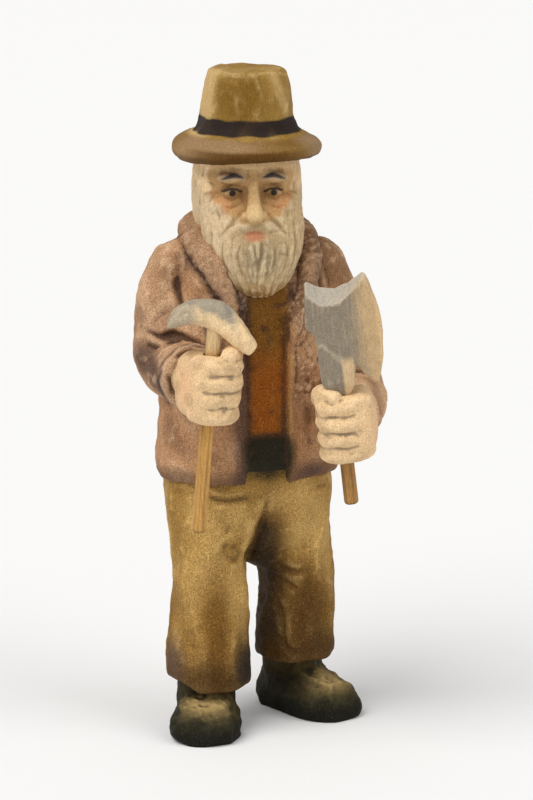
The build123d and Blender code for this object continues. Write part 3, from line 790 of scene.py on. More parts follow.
on_belt = ramp(-belt_gap, -0.5, 0.5) * front * on_body
placket = np.exp(-(((p[:, 0] - 7.0) / 0.75) ** 2)) * ramp(118 - p[:, 2], 0, 4) * front * on_body
step_out = -1.45 * opening + 0.75 * on_belt + 0.55 * placket
step_out -= 1.9 * opening * ramp(77.2 - p[:, 2], 0, 1.2)
step_out += 0.19 * cloud(p, 5.0, 32) + 0.09 * cloud(p, 2.0, 33)
shape(coat, p + n * step_out[:, None])
coat_folds = [
    ([(-22.6, 138.0), (-23.2, 131.0), (-22.4, 124.0), (-20.6, 117.6)], 0.9, 1.0),
    ([(-28.2, 135.0), (-29.4, 128.0), (-28.6, 121.0)], 1.4, 0.45),
    ([(-18.6, 128.0), (-17.4, 121.0), (-16.6, 114.0)], 1.0, 0.8),
    ([(-31.0, 117.0), (-27.4, 115.6), (-23.0, 116.2), (-17.6, 113.6)], 0.9, 1.3),
    ([(-30.6, 113.4), (-27.4, 112.2), (-22.0, 113.0)], 0.7, 0.7),
    ([(-30.8, 108.0), (-28.6, 104.6), (-28.8, 100.6)], 0.8, 0.5),
    ([(-21.0, 96.0), (-22.4, 89.0), (-21.0, 81.0)], 1.5, 0.5),
    ([(-12.0, 112.0), (-13.4, 100.0), (-12.4, 88.0), (-14.0, 79.0)], 1.6, 0.4),
    ([(16.6, 134.0), (18.4, 127.0), (19.0, 119.0), (19.4, 111.0)], 1.0, 0.9),
    ([(25.2, 133.0), (27.0, 124.0), (29.0, 115.0)], 1.3, 0.45),
    ([(23.0, 112.0), (28.4, 108.4), (33.6, 108.8)], 0.9, 0.9),
    ([(22.6, 106.4), (28.0, 104.0), (34.4, 104.6)], 0.8, 0.6),
    ([(19.6, 100.0), (18.4, 92.0), (19.6, 82.0)], 1.5, 0.5),
    ([(12.0, 96.0), (12.8, 86.0), (11.4, 78.0)], 1.4, 0.35),
    ([(8.6, 112.6), (8.8, 106.0), (9.0, 99.6)], 0.45, 0.35),
    ([(9.0, 99.4), (13.0, 98.8), (17.6, 99.6)], 0.45, 0.40),
    ([(17.8, 112.0), (17.9, 106.0), (17.8, 99.8)], 0.45, 0.30),
    ([(-6.9, 113.0), (-6.9, 100.0), (-7.0, 88.0), (-7.0, 76.0)], 0.6, 0.5),
]
carve(coat, coat_folds)
back_folds = [
    ([(-18.0, 134.0), (-17.4, 122.0), (-18.6, 110.0)], 1.0, 0.9),
    ([(18.0, 132.0), (18.0, 120.0), (19.6, 106.0)], 1.0, 0.9),
    ([(-6.0, 112.0), (0.0, 108.6), (7.0, 111.4)], 1.6, 0.45),
    ([(-12.0, 102.0), (-2.0, 97.0), (9.0, 100.6)], 1.8, 0.45),
    ([(-9.0, 94.0), (-10.6, 84.0), (-9.6, 76.0)], 1.6, 0.5),
    ([(8.6, 93.0), (10.6, 84.0), (9.4, 76.0)], 1.6, 0.5),
    ([(0.2, 90.0), (-0.4, 82.0), (0.2, 75.0)], 1.3, 0.45),
    ([(-31.0, 112.6), (-27.0, 110.8), (-21.6, 112.4)], 1.0, 0.6),
    ([(24.0, 101.0), (29.0, 99.0), (34.4, 100.4)], 1.0, 0.6),
]
carve(coat, back_folds, (0.0, 1.0, 0.0))
p, n = points_of(coat), normals_of(coat)
fleece = ramp(p[:, 0], 6.0, 9.0) * ramp(19.5 - p[:, 0], 0, 2) * ramp(p[:, 2], 94, 99)
fleece *= ramp(130 - p[:, 2], 0, 6)
fleece *= front
scratches = np.abs(cloud(p, (1.2, 1.2, 2.0), 34))
collar_gap, _ = near(p, [row[:3] for row in collar], 40)
on_collar = ramp(5.4 - collar_gap, 0, 1.4) * ramp(p[:, 2], 118, 124)
shape(coat, p + n * ((0.34 * fleece + 0.20 * on_collar) * (scratches - 0.5))[:, None])
soften(coat, 1)

p, n = points_of(coat), normals_of(coat)
deep = hollow_of(coat, 10, 0.22)
wide_deep = hollow_of(coat, 60, 1.0)
brown = (0.455, 0.245, 0.122)
brown_light = (0.68, 0.44, 0.265)
brown_dark = (0.070, 0.034, 0.020)
plum = (0.052, 0.030, 0.030)
patchy = cloud(p, 10.0, 35)
paint = np.tile(brown, (len(p), 1))
# Light patches at random, and a painted highlight on the upward-facing parts.
paint = mixed(paint, brown_light, 0.45 * ramp(patchy, 0.0, 1.2) + 0.15 * ramp(n[:, 2], 0.1, 0.9))
# Painted shade on the figure's left shoulder.
paint = mixed(paint, (0.200, 0.100, 0.042), 0.8 * ramp(p[:, 0], 10, 16) * ramp(p[:, 2], 120, 131))
# Painted highlight on the outside of the right upper sleeve.
sleeve_highlight = oval(p, -30.0, 120.0, 4.0, 9.0)
paint = mixed(paint, (0.62, 0.43, 0.29), 0.40 * sleeve_highlight)
shoulder_dark = oval(p, -24.5, 135.0, 5.0, 6.0)
paint = mixed(paint, (0.27, 0.148, 0.074), 0.55 * shoulder_dark)
paint = mixed(paint, (0.24, 0.128, 0.068), 0.70 * on_collar)
# Painted shade on the collar towards the figure's left, near the beard.
paint = mixed(paint, (0.170, 0.088, 0.042), 0.65 * on_collar * ramp(p[:, 0], 2, 10))
paint = mixed(paint, (0.36, 0.165, 0.060), 0.5 * ramp(p[:, 0], 4, 9) * ramp(96 - p[:, 2], 0, 8) * front)
paint = mixed(paint, (0.19, 0.098, 0.052), 0.5 * ramp(-patchy, 0.0, 1.2))
beside_opening = np.maximum(ramp(np.abs(p[:, 0]), 8.0, 10.5), ramp(n[:, 1], -0.2, 0.2))
clear_of_edges = ramp(p[:, 2], 77.0, 83.0) * beside_opening
# Painted highlight on the broad raised parts, clear of the edges and the opening.
highlight_mask = ramp(-wide_deep, 0.15, 0.9) * clear_of_edges
paint = mixed(paint, brown_light, 0.50 * highlight_mask * (1 - 0.85 * on_collar))
# Painted shade in the broad hollows.
paint = mixed(paint, brown_dark, 0.8 * ramp(wide_deep, 0.10, 0.8))
# Painted shade along the hem, uneven.
paint = mixed(paint, brown_dark, 0.58 * ramp(79.5 - p[:, 2] + 0.8 * patchy, 0, 4.5))
# Painted shade on the front of the hem at the figure's left.
hem_plum = oval(p, 14.0, 76.5, 6.0, 3.2) * front
paint = mixed(paint, plum, 0.7 * hem_plum)
# Painted shade under the right elbow.
elbow_gap, _ = near(p, [(-32.4, -1.0, 109.6), (-31.6, -8.0, 106.8), (-29.6, -14.0, 104.0)])
paint = mixed(paint, plum, 0.80 * ramp(7.4 - elbow_gap, 0, 6.4))
# Painted shade along the edges of both cuffs, where the fists come out.
right_cuff_gap = np.abs(p[:, 1] + 14.6)
at_right_cuff = ramp(1.7 - right_cuff_gap, 0, 1.6) * ramp(-p[:, 0], 11.5, 12.5) * ramp(116.5 - p[:, 2], 0, 1)
paint = mixed(paint, plum, 0.6 * at_right_cuff * ramp(p[:, 2], 96, 98))
cuff_line, _ = near(p, [(18.0, -27.0, 104.2), (24.0, -27.6, 100.4), (26.4, -27.0, 93.0), (24.4, -26.0, 87.6)])
paint = mixed(paint, plum, 0.5 * ramp(2.8 - cuff_line, 0, 2.4))
# Painted shade along the lapels: inside and outside the right one, under the edge of the left one.
lapel_in = [(-5.4, -16.4, 112.0), (-6.6, -16.6, 120.0), (-8.4, -16.0, 127.0), (-11.0, -13.0, 135.0)]
lapel_gap, _ = near(p, lapel_in)
paint = mixed(paint, plum, 0.88 * ramp(3.2 - lapel_gap, 0, 2.8))
lapel_edge = [(-10.0, -17.2, 117.0), (-13.4, -15.8, 126.0), (-17.2, -11.6, 134.0), (-20.0, -4.0, 139.0)]
lapel_out, _ = near(p, lapel_edge)
paint = mixed(paint, plum, 0.66 * ramp(3.0 - lapel_out, 0, 2.8))
lapel_left, _ = near(p, [(9.0, -17.2, 116.0), (13.0, -15.8, 126.0), (16.6, -11.6, 134.0)])
paint = mixed(paint, brown_dark, 0.7 * ramp(1.5 - lapel_left, 0, 1.4))
chest = front * on_body
in_shirt = ramp(6.7 - np.abs(p[:, 0]), -0.7, 1.1) * chest
in_shirt *= ramp(136 - p[:, 2], 0, 2) * ramp(p[:, 2], 75.5, 77)
shirt = np.tile((0.285, 0.080, 0.005), (len(p), 1))
shirt = mixed(shirt, (0.190, 0.078, 0.008), ramp(p[:, 2], 102, 116))
shirt = mixed(shirt, (0.33, 0.155, 0.035), 0.6 * ramp(cloud(p, (1.6, 1.6, 14.0), 36), 0.2, 1.2))
shirt = mixed(shirt, (0.12, 0.058, 0.014), 0.75 * ramp(p[:, 0], 2.2, 5.2) * ramp(100 - p[:, 2], 0, 8))
# Painted shade on the shirt beside the coat's right front.
shirt = mixed(shirt, (0.060, 0.034, 0.020), 0.85 * ramp(-p[:, 0], 3.2, 6.4))
shirt = mixed(shirt, (0.045, 0.030, 0.014), 0.7 * ramp(89.5 - p[:, 2], 0, 3.0))
paint = paint + (shirt - paint) * (0.97 * in_shirt)[:, None]
# Painted shade on the coat's right front, beside the opening.
left_blend = ramp(-p[:, 0], 4.6, 7.0) * ramp(12.4 + p[:, 0], 0, 4.4) * ramp(116 - p[:, 2], 0, 3) * chest
paint = mixed(paint, (0.070, 0.038, 0.028), 0.82 * left_blend)
placket_line = np.exp(-(((p[:, 0] - 7.0) / 0.5) ** 2)) * chest
placket_line *= ramp(114 - p[:, 2], 0, 6) * ramp(p[:, 2], 76, 80)
paint = mixed(paint, (0.46, 0.26, 0.075), 0.62 * placket_line)
# The trousers' top below the belt, painted dark as shade under the belt.
below_belt = ramp(77.6 - p[:, 2], 0, 1.0) * ramp(6.6 - np.abs(p[:, 0]), -0.4, 0.5) * chest
paint = mixed(paint, (0.070, 0.048, 0.018), 0.92 * below_belt)
paint = mixed(paint, (0.009, 0.009, 0.006), 0.98 * ramp(-belt_gap, -0.7, 0.8) * chest)
paint = mixed(paint, (0.030, 0.026, 0.014), 0.65 * ramp(2.2 - belt_gap, 0, 1.9) * chest)
paint = mixed(paint, (0.54, 0.36, 0.22), (0.80 * fleece + 0.28 * on_collar) * ramp(scratches, 0.45, 1.1))
# Painted shade in the creases, and a painted highlight along the sharp edges.
paint = mixed(paint, brown_dark, 0.6 * ramp(deep, 0.15, 0.9))
edge_light = ramp(-deep, 0.2, 0.9) * (1 - in_shirt) * clear_of_edges
paint = mixed(paint, brown_light, 0.45 * edge_light * (1 - 0.6 * on_collar))
painted(coat, paint, 1.0 - 0.8 * ramp(1.0 - belt_gap, 0, 1.0) * chest)
placed(
    coat, "figure",
    ["torso", "right_arm", "left_arm", "right_shoulder_peg", "left_shoulder_peg"],
    stained_wood("brown_stain", fibre_size=0.6, streaks=0.22, speckle=0.62, bump_mm=0.22),
)


# ---------------------------------------------------------------- hands
# Two clenched fists, each one block with four fingers, a thumb and a wrist let into its sleeve,
# drilled right through for the tool's handle. Flesh stain, with painted shade in grey lines between the
# fingers.
def unit(vector):
    """The vector at length 1."""
    return np.asarray(vector, float) / np.linalg.norm(vector)


def fist(name, grip, rise, forward, thumb_side, seed, nodes, sideways=0.0, up=0.0):
    """Fist closed round a handle that goes through grip along rise. In the fist's own frame the
    first number is forward from the grip, the second towards the palm, the third up the handle.
    sideways and up shift the hand on its handle."""
    rise = unit(rise)
    forward = unit(np.asarray(forward) - rise * (rise @ np.asarray(forward)))
    palm = np.cross(rise, forward) * thumb_side
    axes = np.stack([forward, palm, rise])
    shells = [lump((-2.4, -0.2, 0.0), (8.5, 7.2, 9.4), 3.4)]
    shells.append(limb([(-6.0, 0.0, 0.0, 6.8), (-14.5, 0.0, 0.0, 6.6)], (0, 0, 1)))
    for level, size, curl in ((6.9, 2.9, -0.4), (2.3, 3.05, 0.0), (-2.4, 2.95, -0.1), (-6.9, 2.75, -0.7)):
        shells.append(
            limb(
                [(1.2, -4.6, level + 0.2, size * 0.9), (3.5 + curl, -2.6, level, size),
                 (4.3 + curl, 0.2, level - 0.1, size), (4.0 + curl, 3.4, level - 0.3, size),
                 (1.4, 6.0, level - 0.4, size * 0.98), (-2.6, 5.8, level - 0.4, size * 0.92)],
                (0, 0, 1), 40, 32,
            )
        )
    shells.append(lump((0.8, 0.6, 0.0), (5.5, 7.6, 9.2), 3.4))
    shells.append(
        limb(
            [(-8.4, 4.0, 2.6, 3.0), (-4.6, 6.6, 6.2, 3.2), (-0.6, 6.6, 9.1, 2.9),
             (2.6, 4.6, 9.9, 2.5), (4.2, 2.9, 9.8, 2.2)],
            (0, 0.3, 1), 40, 32,
        )
    )
    shells = [(shell + (0.0, sideways, up)) * (1, thumb_side, 1) for shell in shells]
    frame_axes = np.stack([forward, palm * thumb_side, rise])
    shells = [shell @ frame_axes + grip for shell in shells]
    hole_radius, hole_reach = 2.2, 22
    drill = (grip - rise * hole_reach, grip + rise * hole_reach, hole_radius)
    thing = fused(name, shells, 0.27, drill)
    creases = (up - 4.65, up - 0.05, up + 4.6)
    soften(thing, 3)
    points, normals = points_of(thing), normals_of(thing)
    local = (points - grip) @ axes.T
    in_hole = ramp(2.9 - np.hypot(local[:, 0], local[:, 1]), 0, 0.5)
    cuts = 0.0
    for crease in creases:
        line = np.exp(-(((local[:, 2] - crease - 0.2 * np.sin(local[:, 1])) / 0.45) ** 2))
        cuts = cuts - 0.20 * line * ramp(local[:, 0] + local[:, 1], -1.5, 3.5)
    wave = 0.10 * cloud(points, 3.0, seed) + 0.05 * cloud(points, 1.4, seed + 1)
    shape(thing, points + normals * ((cuts + wave) * (1 - in_hole))[:, None])
    knife_facets(thing, spacing=3.4, depth=0.16, seed=seed + 2, share=0.6)
    soften(thing, 1)
    points, normals = points_of(thing), normals_of(thing)
    local = (points - grip) @ axes.T
    in_hole = ramp(2.7 - np.hypot(local[:, 0], local[:, 1]), 0, 0.5)
    deep = hollow_of(thing, 10, 0.16)
    wide_deep = hollow_of(thing, 50, 0.7)
    paint = np.tile((0.76, 0.53, 0.29), (len(points), 1))
    # Painted highlight on the broad raised parts.
    paint = mixed(paint, (0.84, 0.60, 0.36), 0.6 * ramp(-wide_deep, 0.0, 0.8))
    from_back = ((local[:, 1] + 7.0) / 4.0) ** 2 + ((local[:, 0] + 1.5) / 5.0) ** 2
    pink = np.exp(-(from_back + (local[:, 2] / 7.0) ** 2))
    paint = mixed(paint, (0.80, 0.42, 0.23), 0.55 * pink)
    paint = mixed(paint, (0.42, 0.27, 0.14), 0.4 * ramp(cloud(points, 5.0, seed + 3), 0.2, 1.1))
    # Painted shade in the creases and broad hollows.
    paint = mixed(paint, (0.24, 0.175, 0.110), 0.74 * ramp(deep, 0.06, 0.55))
    paint = mixed(paint, (0.20, 0.13, 0.075), 0.6 * ramp(wide_deep, 0.2, 0.9))
    # Painted shade at the wrist, inside the cuff.
    paint = mixed(paint, (0.30, 0.20, 0.12), 0.6 * ramp(-8.5 - local[:, 0], 0, 2.0))
    # Painted shade in lines between the fingers.
    for crease in creases:
        line = np.exp(-(((local[:, 2] - crease - 0.2 * np.sin(local[:, 1])) / 0.42) ** 2))
        paint = mixed(paint, (0.27, 0.19, 0.115), 0.5 * line * ramp(local[:, 0] + local[:, 1], 0.5, 4.5))
    # Painted shade inside the bore for the handle.
    paint = mixed(paint, (0.045, 0.03, 0.02), 0.85 * in_hole)
    painted(thing, paint)
    placed(thing, "figure", nodes, hand_stain)


hand_stain = stained_wood("hand_stain", fibre_size=0.5, streaks=0.18, speckle=0.36, bump_mm=0.14)
pick_foot, pick_rise = np.array([-23.3, -24.5, 63.4]), unit((0.060, -0.060, 0.996))
axe_foot, axe_rise = np.array([17.7, -36.8, 71.1]), unit((-0.150, -0.083, 0.985))
right_grip = pick_foot + pick_rise * 41.8
left_grip = axe_foot + axe_rise * 22.9
fist("carved_right_fist", right_grip, pick_rise, (0.104, -0.992, -0.066), 1, 41, ["right_hand"])
fist(
    "carved_left_fist", left_grip, axe_rise, (-0.444, -0.885, -0.142), -1, 46, ["left_hand"],
    sideways=-1.7, up=0.5,
)


# ---------------------------------------------------------------- trousers
# Hips and two legs carved from one block, glued up into the coat on two dowels. Ochre stain,
# with painted highlights on the thighs, painted shade at the crotch, and darker at the hems.
hips = [(0, 0, 53, 20.0, 12.4), (0, 0, 57, 22.8, 14.6), (0, 0, 63, 23.8, 16.0), (0, 0, 70, 24.2, 16.4),
        (0, 0, 78, 23.6, 15.8)]
right_leg = [(-14.1, -5.8, 14.0, 10.9, 10.8), (-14.1, -5.8, 14.5, 11.5, 11.4), (-14.0, -5.6, 25, 11.5, 11.5),
             (-13.3, -4.8, 40, 10.5, 10.8), (-12.4, -2.8, 52, 11.0, 11.4), (-11.6, -1, 66, 12, 13.0)]
left_leg = [(14.7, 0.6, 18.2, 10.3, 10.6), (14.7, 0.6, 18.8, 10.9, 11.0), (14.9, 1.0, 26, 10.8, 11.2),
            (15.3, 0.6, 39, 10.5, 11.0), (13.3, 0.2, 52, 11.0, 11.6), (11.6, 0, 66, 12, 13.0)]
trousers = fused(
    "carved_trousers",
    [
        lump((3.8, -1.0, 54.2), (7.2, 10.5, 8.8)), ovals(hips, 40, 150, 2.2),
        ovals(right_leg, 90, 120, 2.15), ovals(left_leg, 90, 120, 2.15),
    ],
    0.42,
)
soften(trousers, 3)
knife_facets(trousers, spacing=7.0, depth=0.5, seed=51, share=0.9)
trouser_folds = [
    ([(0.6, 72.0), (-0.4, 67.0), (-1.6, 62.0)], 0.8, 0.4),
    ([(-0.6, 64.0), (-2.2, 59.0), (-3.0, 53.0), (-3.6, 47.0)], 1.5, 1.9),
    ([(-18.0, 70.4), (-12.0, 69.0), (-5.0, 69.8)], 0.9, 0.7),
    ([(-15.0, 64.0), (-8.0, 59.6), (-1.6, 56.0)], 2.0, 0.5),
    ([(-20.6, 58.0), (-19.0, 48.0), (-20.0, 40.0)], 2.2, 0.6),
    ([(-9.6, 56.0), (-7.4, 46.0), (-8.0, 36.0)], 2.2, 0.45),
    ([(-23.6, 32.0), (-21.6, 26.0), (-20.4, 19.0), (-20.0, 15.0)], 1.3, 0.6),
    ([(-13.6, 42.0), (-13.0, 30.0), (-14.0, 18.0)], 2.4, 0.45),
    ([(-7.6, 32.0), (-8.2, 24.0), (-7.0, 16.0)], 1.6, 0.4),
    ([(2.8, 60.0), (4.2, 55.0), (3.0, 50.0)], 1.4, 0.4),
    ([(4.8, 48.4), (9.0, 45.4), (14.4, 45.4)], 0.9, 0.7),
    ([(6.0, 43.6), (8.6, 42.0), (11.6, 39.6)], 0.7, 0.6),
    ([(6.6, 37.0), (7.8, 31.0), (8.2, 24.0)], 0.7, 0.9),
    ([(7.0, 25.0), (9.4, 22.0), (13.0, 20.8)], 0.7, 0.6),
    ([(21.6, 62.0), (20.4, 52.0), (21.4, 42.0)], 2.2, 0.45),
    ([(17.4, 36.0), (18.6, 28.0), (17.6, 20.0)], 2.2, 0.45),
    ([(12.6, 69.6), (18.0, 70.4), (23.0, 69.0)], 1.0, 0.4),
]
carve(trousers, trouser_folds)
carve(
    trousers,
    [
        ([(0.0, 72.0), (0.0, 62.0), (0.4, 54.0)], 1.2, 0.9),
        ([(-20.0, 60.0), (-12.0, 56.6), (-3.0, 59.0)], 2.0, 0.6),
        ([(3.4, 59.0), (12.0, 56.4), (21.0, 60.0)], 2.0, 0.6),
        ([(-21.0, 43.0), (-13.4, 39.6), (-6.0, 42.0)], 1.2, 0.6),
        ([(6.6, 42.0), (14.0, 39.4), (22.0, 43.0)], 1.2, 0.6),
        ([(-14.0, 30.0), (-12.8, 22.0), (-14.0, 15.6)], 1.8, 0.4),
        ([(14.6, 31.0), (13.4, 24.0), (14.8, 18.2)], 1.8, 0.4),
    ],
    (0.0, 1.0, 0.0),
)
p, n = points_of(trousers), normals_of(trousers)
inner_rough = np.exp(-(((p[:, 0] - 6.0) / 3.5) ** 2)) * ramp(48 - p[:, 2], 0, 6)
waves = 0.12 * cloud(p, (6.0, 6.0, 12.0), 52) + 0.07 * cloud(p, 2.0, 53)
waves += 0.16 * inner_rough * cloud(p, 2.0, 54)
shaped = p + n * waves[:, None]
cut_corner = ramp(-p[:, 0], 19.5, 25.0) * ramp(27.0 - p[:, 2], 0, 12)
shaped[:, 2] += 2.6 * cut_corner
shape(trousers, shaped)
soften(trousers, 1)

p, n = points_of(trousers), normals_of(trousers)
deep = hollow_of(trousers, 12, 0.22)
wide_deep = hollow_of(trousers, 60, 1.0)
patchy = cloud(p, (9.0, 9.0, 18.0), 55)
facing_out = ramp(-n[:, 1], -0.1, 0.6)


def airbrush(paint, colour, strength, across, up, wide, tall, power=1.0):
    """Soft oval of colour on the front, centred at across and up."""
    return mixed(paint, colour, strength * oval(p, across, up, wide, tall, power) * facing_out)


ochre_mid, ochre_pale = (0.295, 0.156, 0.032), (0.58, 0.37, 0.125)
olive_dark, shade_dark = (0.115, 0.055, 0.011), (0.045, 0.025, 0.014)
paint = np.tile(ochre_mid, (len(p), 1))
# Light patches at random, and a painted highlight on the broad raised parts.
paint = mixed(paint, ochre_pale, 0.45 * ramp(patchy, -0.2, 1.2) + 0.5 * ramp(-wide_deep, 0.05, 0.9))
paint = mixed(paint, olive_dark, 0.45 * ramp(-patchy, 0.1, 1.2))
# Painted highlight on the narrow ridges.
paint = mixed(paint, (0.66, 0.45, 0.19), 0.25 * ramp(-deep, 0.2, 0.9))
# Painted highlights airbrushed on both thighs and the right knee.
paint = airbrush(paint, ochre_pale, 0.75, -16.5, 50, 5.5, 15, 1.2)
paint = airbrush(paint, ochre_pale, 0.60, -6.5, 40, 3.0, 12, 1.2)
paint = airbrush(paint, ochre_pale, 0.65, 15.5, 59, 8.0, 9, 1.2)
paint = airbrush(paint, ochre_pale, 0.40, -21.0, 42, 3.0, 12)
paint = airbrush(paint, (0.150, 0.064, 0.007), 0.92, -15.4, 30, 5.2, 20, 1.8)
paint = airbrush(paint, (0.078, 0.033, 0.005), 0.92, 14.5, 34, 8.5, 11, 1.4)
paint = airbrush(paint, (0.070, 0.031, 0.005), 0.85, 16.0, 22, 9.5, 8, 1.4)
outer_corner = ((p[:, 0] + 25.2) / 3.4) ** 2 + ((p[:, 1] + 8.5) / 6.0) ** 2 + ((p[:, 2] - 22.5) / 6.5) ** 2
paint = airbrush(paint, ochre_pale, 0.6, 7.0, 69, 10.0, 5.0)
paint = airbrush(paint, ochre_pale, 0.4, -12.0, 66, 9.0, 6.0)
# Painted shadow under the belt and the coat's front.
paint = airbrush(paint, (0.035, 0.026, 0.012), 0.85, 0.0, 77.0, 6.6, 2.6, 1.5)
# Painted shade in the fold just under the coat's hem.
paint = airbrush(paint, olive_dark, 0.55, -9.0, 69.6, 6.0, 1.6)
# Painted shade at the crotch.
crotch_gap, _ = near(p, [(-1.0, -14.0, 59.0), (0.6, -11.0, 53.0), (2.0, -8.0, 45.0)])
right_of_fold = ramp(p[:, 0] + 3.4 - 0.10 * (p[:, 2] - 48), -0.8, 0.8)
crotch_wide = ramp(10.5 - crotch_gap, 0, 6.0) * (0.15 + 0.85 * right_of_fold)
crotch_deep = ramp(6.6 - crotch_gap, 0, 4.6) * (0.2 + 0.8 * right_of_fold)
paint = mixed(paint, olive_dark, 0.75 * crotch_wide)
paint = mixed(paint, (0.024, 0.014, 0.006), 0.95 * crotch_deep)
# Painted shade on the inside of the left thigh, between the legs.
inner_left = ramp(10.6 - p[:, 0], 0, 5.0) * ramp(p[:, 0], 0.6, 2.4) * ramp(50 - p[:, 2], 0, 7)
paint = mixed(paint, (0.040, 0.022, 0.010), 0.86 * inner_left)
# Painted shade on the inside of the right leg, between the legs.
inner_right = ramp(p[:, 0], -6.0, -3.6) * ramp(-p[:, 0], -1.0, 0.5) * ramp(40 - p[:, 2], 0, 10)
paint = mixed(paint, shade_dark, 0.6 * inner_right)
right_hem, left_hem = 14.4, 18.4
above_hem = p[:, 2] - np.where(p[:, 0] < 0, right_hem, left_hem)
paint = mixed(paint, (0.060, 0.027, 0.005), 0.88 * ramp(12.0 - above_hem + 1.2 * patchy, 0, 10.0))
# Painted shade low between the legs, inside the right leg.
paint = airbrush(paint, (0.018, 0.013, 0.010), 0.95, -5.6, 20.5, 4.8, 9, 1.5)
paint = mixed(paint, (0.095, 0.052, 0.036), 0.84 * np.exp(-(outer_corner**1.3)))
# Painted shade in creases and broad hollows, and a painted highlight on the ridges.
paint = mixed(paint, (0.075, 0.038, 0.012), 0.55 * ramp(deep, 0.15, 0.9))
paint = mixed(paint, (0.090, 0.046, 0.014), 0.45 * ramp(wide_deep, 0.25, 0.95))
paint = paint * (1 + 0.15 * ramp(-deep, 0.2, 0.9))[:, None]
painted(trousers, paint)
placed(
    trousers, "figure", ["trousers", "right_waist_peg", "left_waist_peg"],
    stained_wood("trouser_stain", fibre_size=0.6, streaks=0.20, speckle=0.66, bump_mm=0.22),
)


# ---------------------------------------------------------------- boots
# Two soft boots, each one block with a round toe, flat sole and short shaft doweled up into the
# trouser leg. Black-green stain, with painted ochre highlights on the toe caps and insteps.
def boot(name, middle, turn, shaft_top, seed, nodes):
    """Boot with its sole's middle at middle, turned about z. Rows run from heel to toe, each a
    loop flat below and rounded above, and a round shaft is fused on."""
    rows = np.array([
        (17.3, 1.0, 1.5, 2.4), (17.0, 3.4, 3.6, 3.0), (15.6, 6.0, 6.4, 2.6), (12.6, 8.2, 8.9, 2.3),
        (8.0, 9.6, 10.4, 2.2), (3.0, 9.5, 12.4, 2.2), (-2.0, 8.6, 15.0, 2.2), (-8.0, 7.7, 15.4, 2.2),
        (-12.0, 6.8, 13.8, 2.2), (-14.8, 5.0, 11.4, 2.3), (-16.0, 2.6, 8.0, 2.6), (-16.2, 0.8, 5.6, 2.6),
    ])
    line = curve(rows[::-1], 90)
    a = np.linspace(0, 2 * math.pi, 120, endpoint=False)
    c = powered(np.cos(a), 0.72)
    up = np.where(np.sin(a) > 0, np.abs(np.sin(a)) ** 0.9, -np.abs(np.sin(a)) ** 0.35)
    width, height, waist = (line[:, i][:, None] for i in (1, 2, 3))
    rise = np.where(up > 0, waist + up * (np.maximum(height, waist) - waist), waist + up * waist)
    foot = np.stack([width * c, -line[:, 0][:, None] * np.ones_like(a), rise], -1)
    shaft_rows = [(0, 5.4, 4.0, 8.2, 8.8), (0, 5.4, 9.0, 8.3, 8.8), (0, 5.4, shaft_top + 2.0, 7.9, 8.3)]
    shaft = ovals(shaft_rows, 40, 96, 2.1)
    spin = np.array([[math.cos(turn), math.sin(turn), 0], [-math.sin(turn), math.cos(turn), 0], [0, 0, 1]])
    shells = [shell @ spin + np.array([*middle, 0.0]) for shell in (foot, shaft)]
    thing = fused(name, shells, 0.34)
    soften(thing, 3)
    knife_facets(thing, spacing=5.2, depth=0.8, seed=seed, share=0.95)
    points, normals = points_of(thing), normals_of(thing)
    above = ramp(points[:, 2], 0.6, 2.0)
    wave = (0.24 * cloud(points, 5.0, seed + 1) + 0.12 * cloud(points, 1.8, seed + 2)) * above
    shape(thing, points + normals * wave[:, None])
    soften(thing, 1)
    points = points_of(thing)
    points[:, 2] = np.maximum(points[:, 2], 0.0)
    shape(thing, points)
    normals = normals_of(thing)
    local = (points - np.array([*middle, 0.0])) @ spin.T
    deep = hollow_of(thing, 10, 0.2)
    patchy = cloud(points, 6.0, seed + 3)
    paint = np.tile((0.020, 0.018, 0.008), (len(points), 1))
    # Painted highlight on upward-facing parts: the toe cap and the instep.
    highlight_mask = ramp(normals[:, 2], 0.30, 0.95)
    toe_cap = np.exp(-(((local[:, 0] / 6.0) ** 2 + ((local[:, 1] + 8.6) / 5.0) ** 2) ** 1.3)) * highlight_mask
    paint = mixed(paint, (0.070, 0.045, 0.012), 0.75 * ramp(points[:, 2], 9.5, 14.5))
    paint = mixed(paint, (0.54, 0.38, 0.155), 0.92 * toe_cap)
    paint = mixed(paint, (0.20, 0.135, 0.050), 0.28 * highlight_mask * ramp(points[:, 2], 6.0, 10.0))
    # Painted highlight on the edges.
    paint = paint * (1 + 0.6 * ramp(-deep, 0.2, 0.9))[:, None]
    paint = mixed(paint, (0.060, 0.048, 0.020), 0.35 * ramp(patchy, 0.2, 1.1))
    paint = mixed(paint, (0.007, 0.007, 0.004), 0.90 * ramp(6.8 - points[:, 2] + 0.6 * patchy, 0, 4.6))
    # Painted shade in the hollows.
    paint = mixed(paint, (0.014, 0.012, 0.008), 0.75 * ramp(deep, 0.12, 0.8))
    painted(thing, paint)
    placed(thing, "figure", nodes, boot_stain)


boot_stain = stained_wood("boot_stain", fibre_size=0.6, streaks=0.25, speckle=0.36, bump_mm=0.2)
boot("carved_right_boot", (-15.3, -7.4), math.radians(-20), 14.4, 61, ["right_boot", "right_ankle_peg"])
boot("carved_left_boot", (18.9, 2.4), math.radians(26), 18.6, 66, ["left_boot", "left_ankle_peg"])


# ---------------------------------------------------------------- log pick
# Forester's log pick: a crescent head carved from limewood, its back and top stained grey and
# its blunt point left bare, on a plain 4 mm dowel that stands in a blind hole.
def tool_axes(rise):
    """Rows are the tool's across, along and thickness directions; its face looks to the front and
    20 degrees to the figure's right."""
    level = np.array([0.94, -0.342, 0.0])
    across = unit(level - rise * (rise @ level))
    return np.stack([across, rise, np.cross(rise, across)])


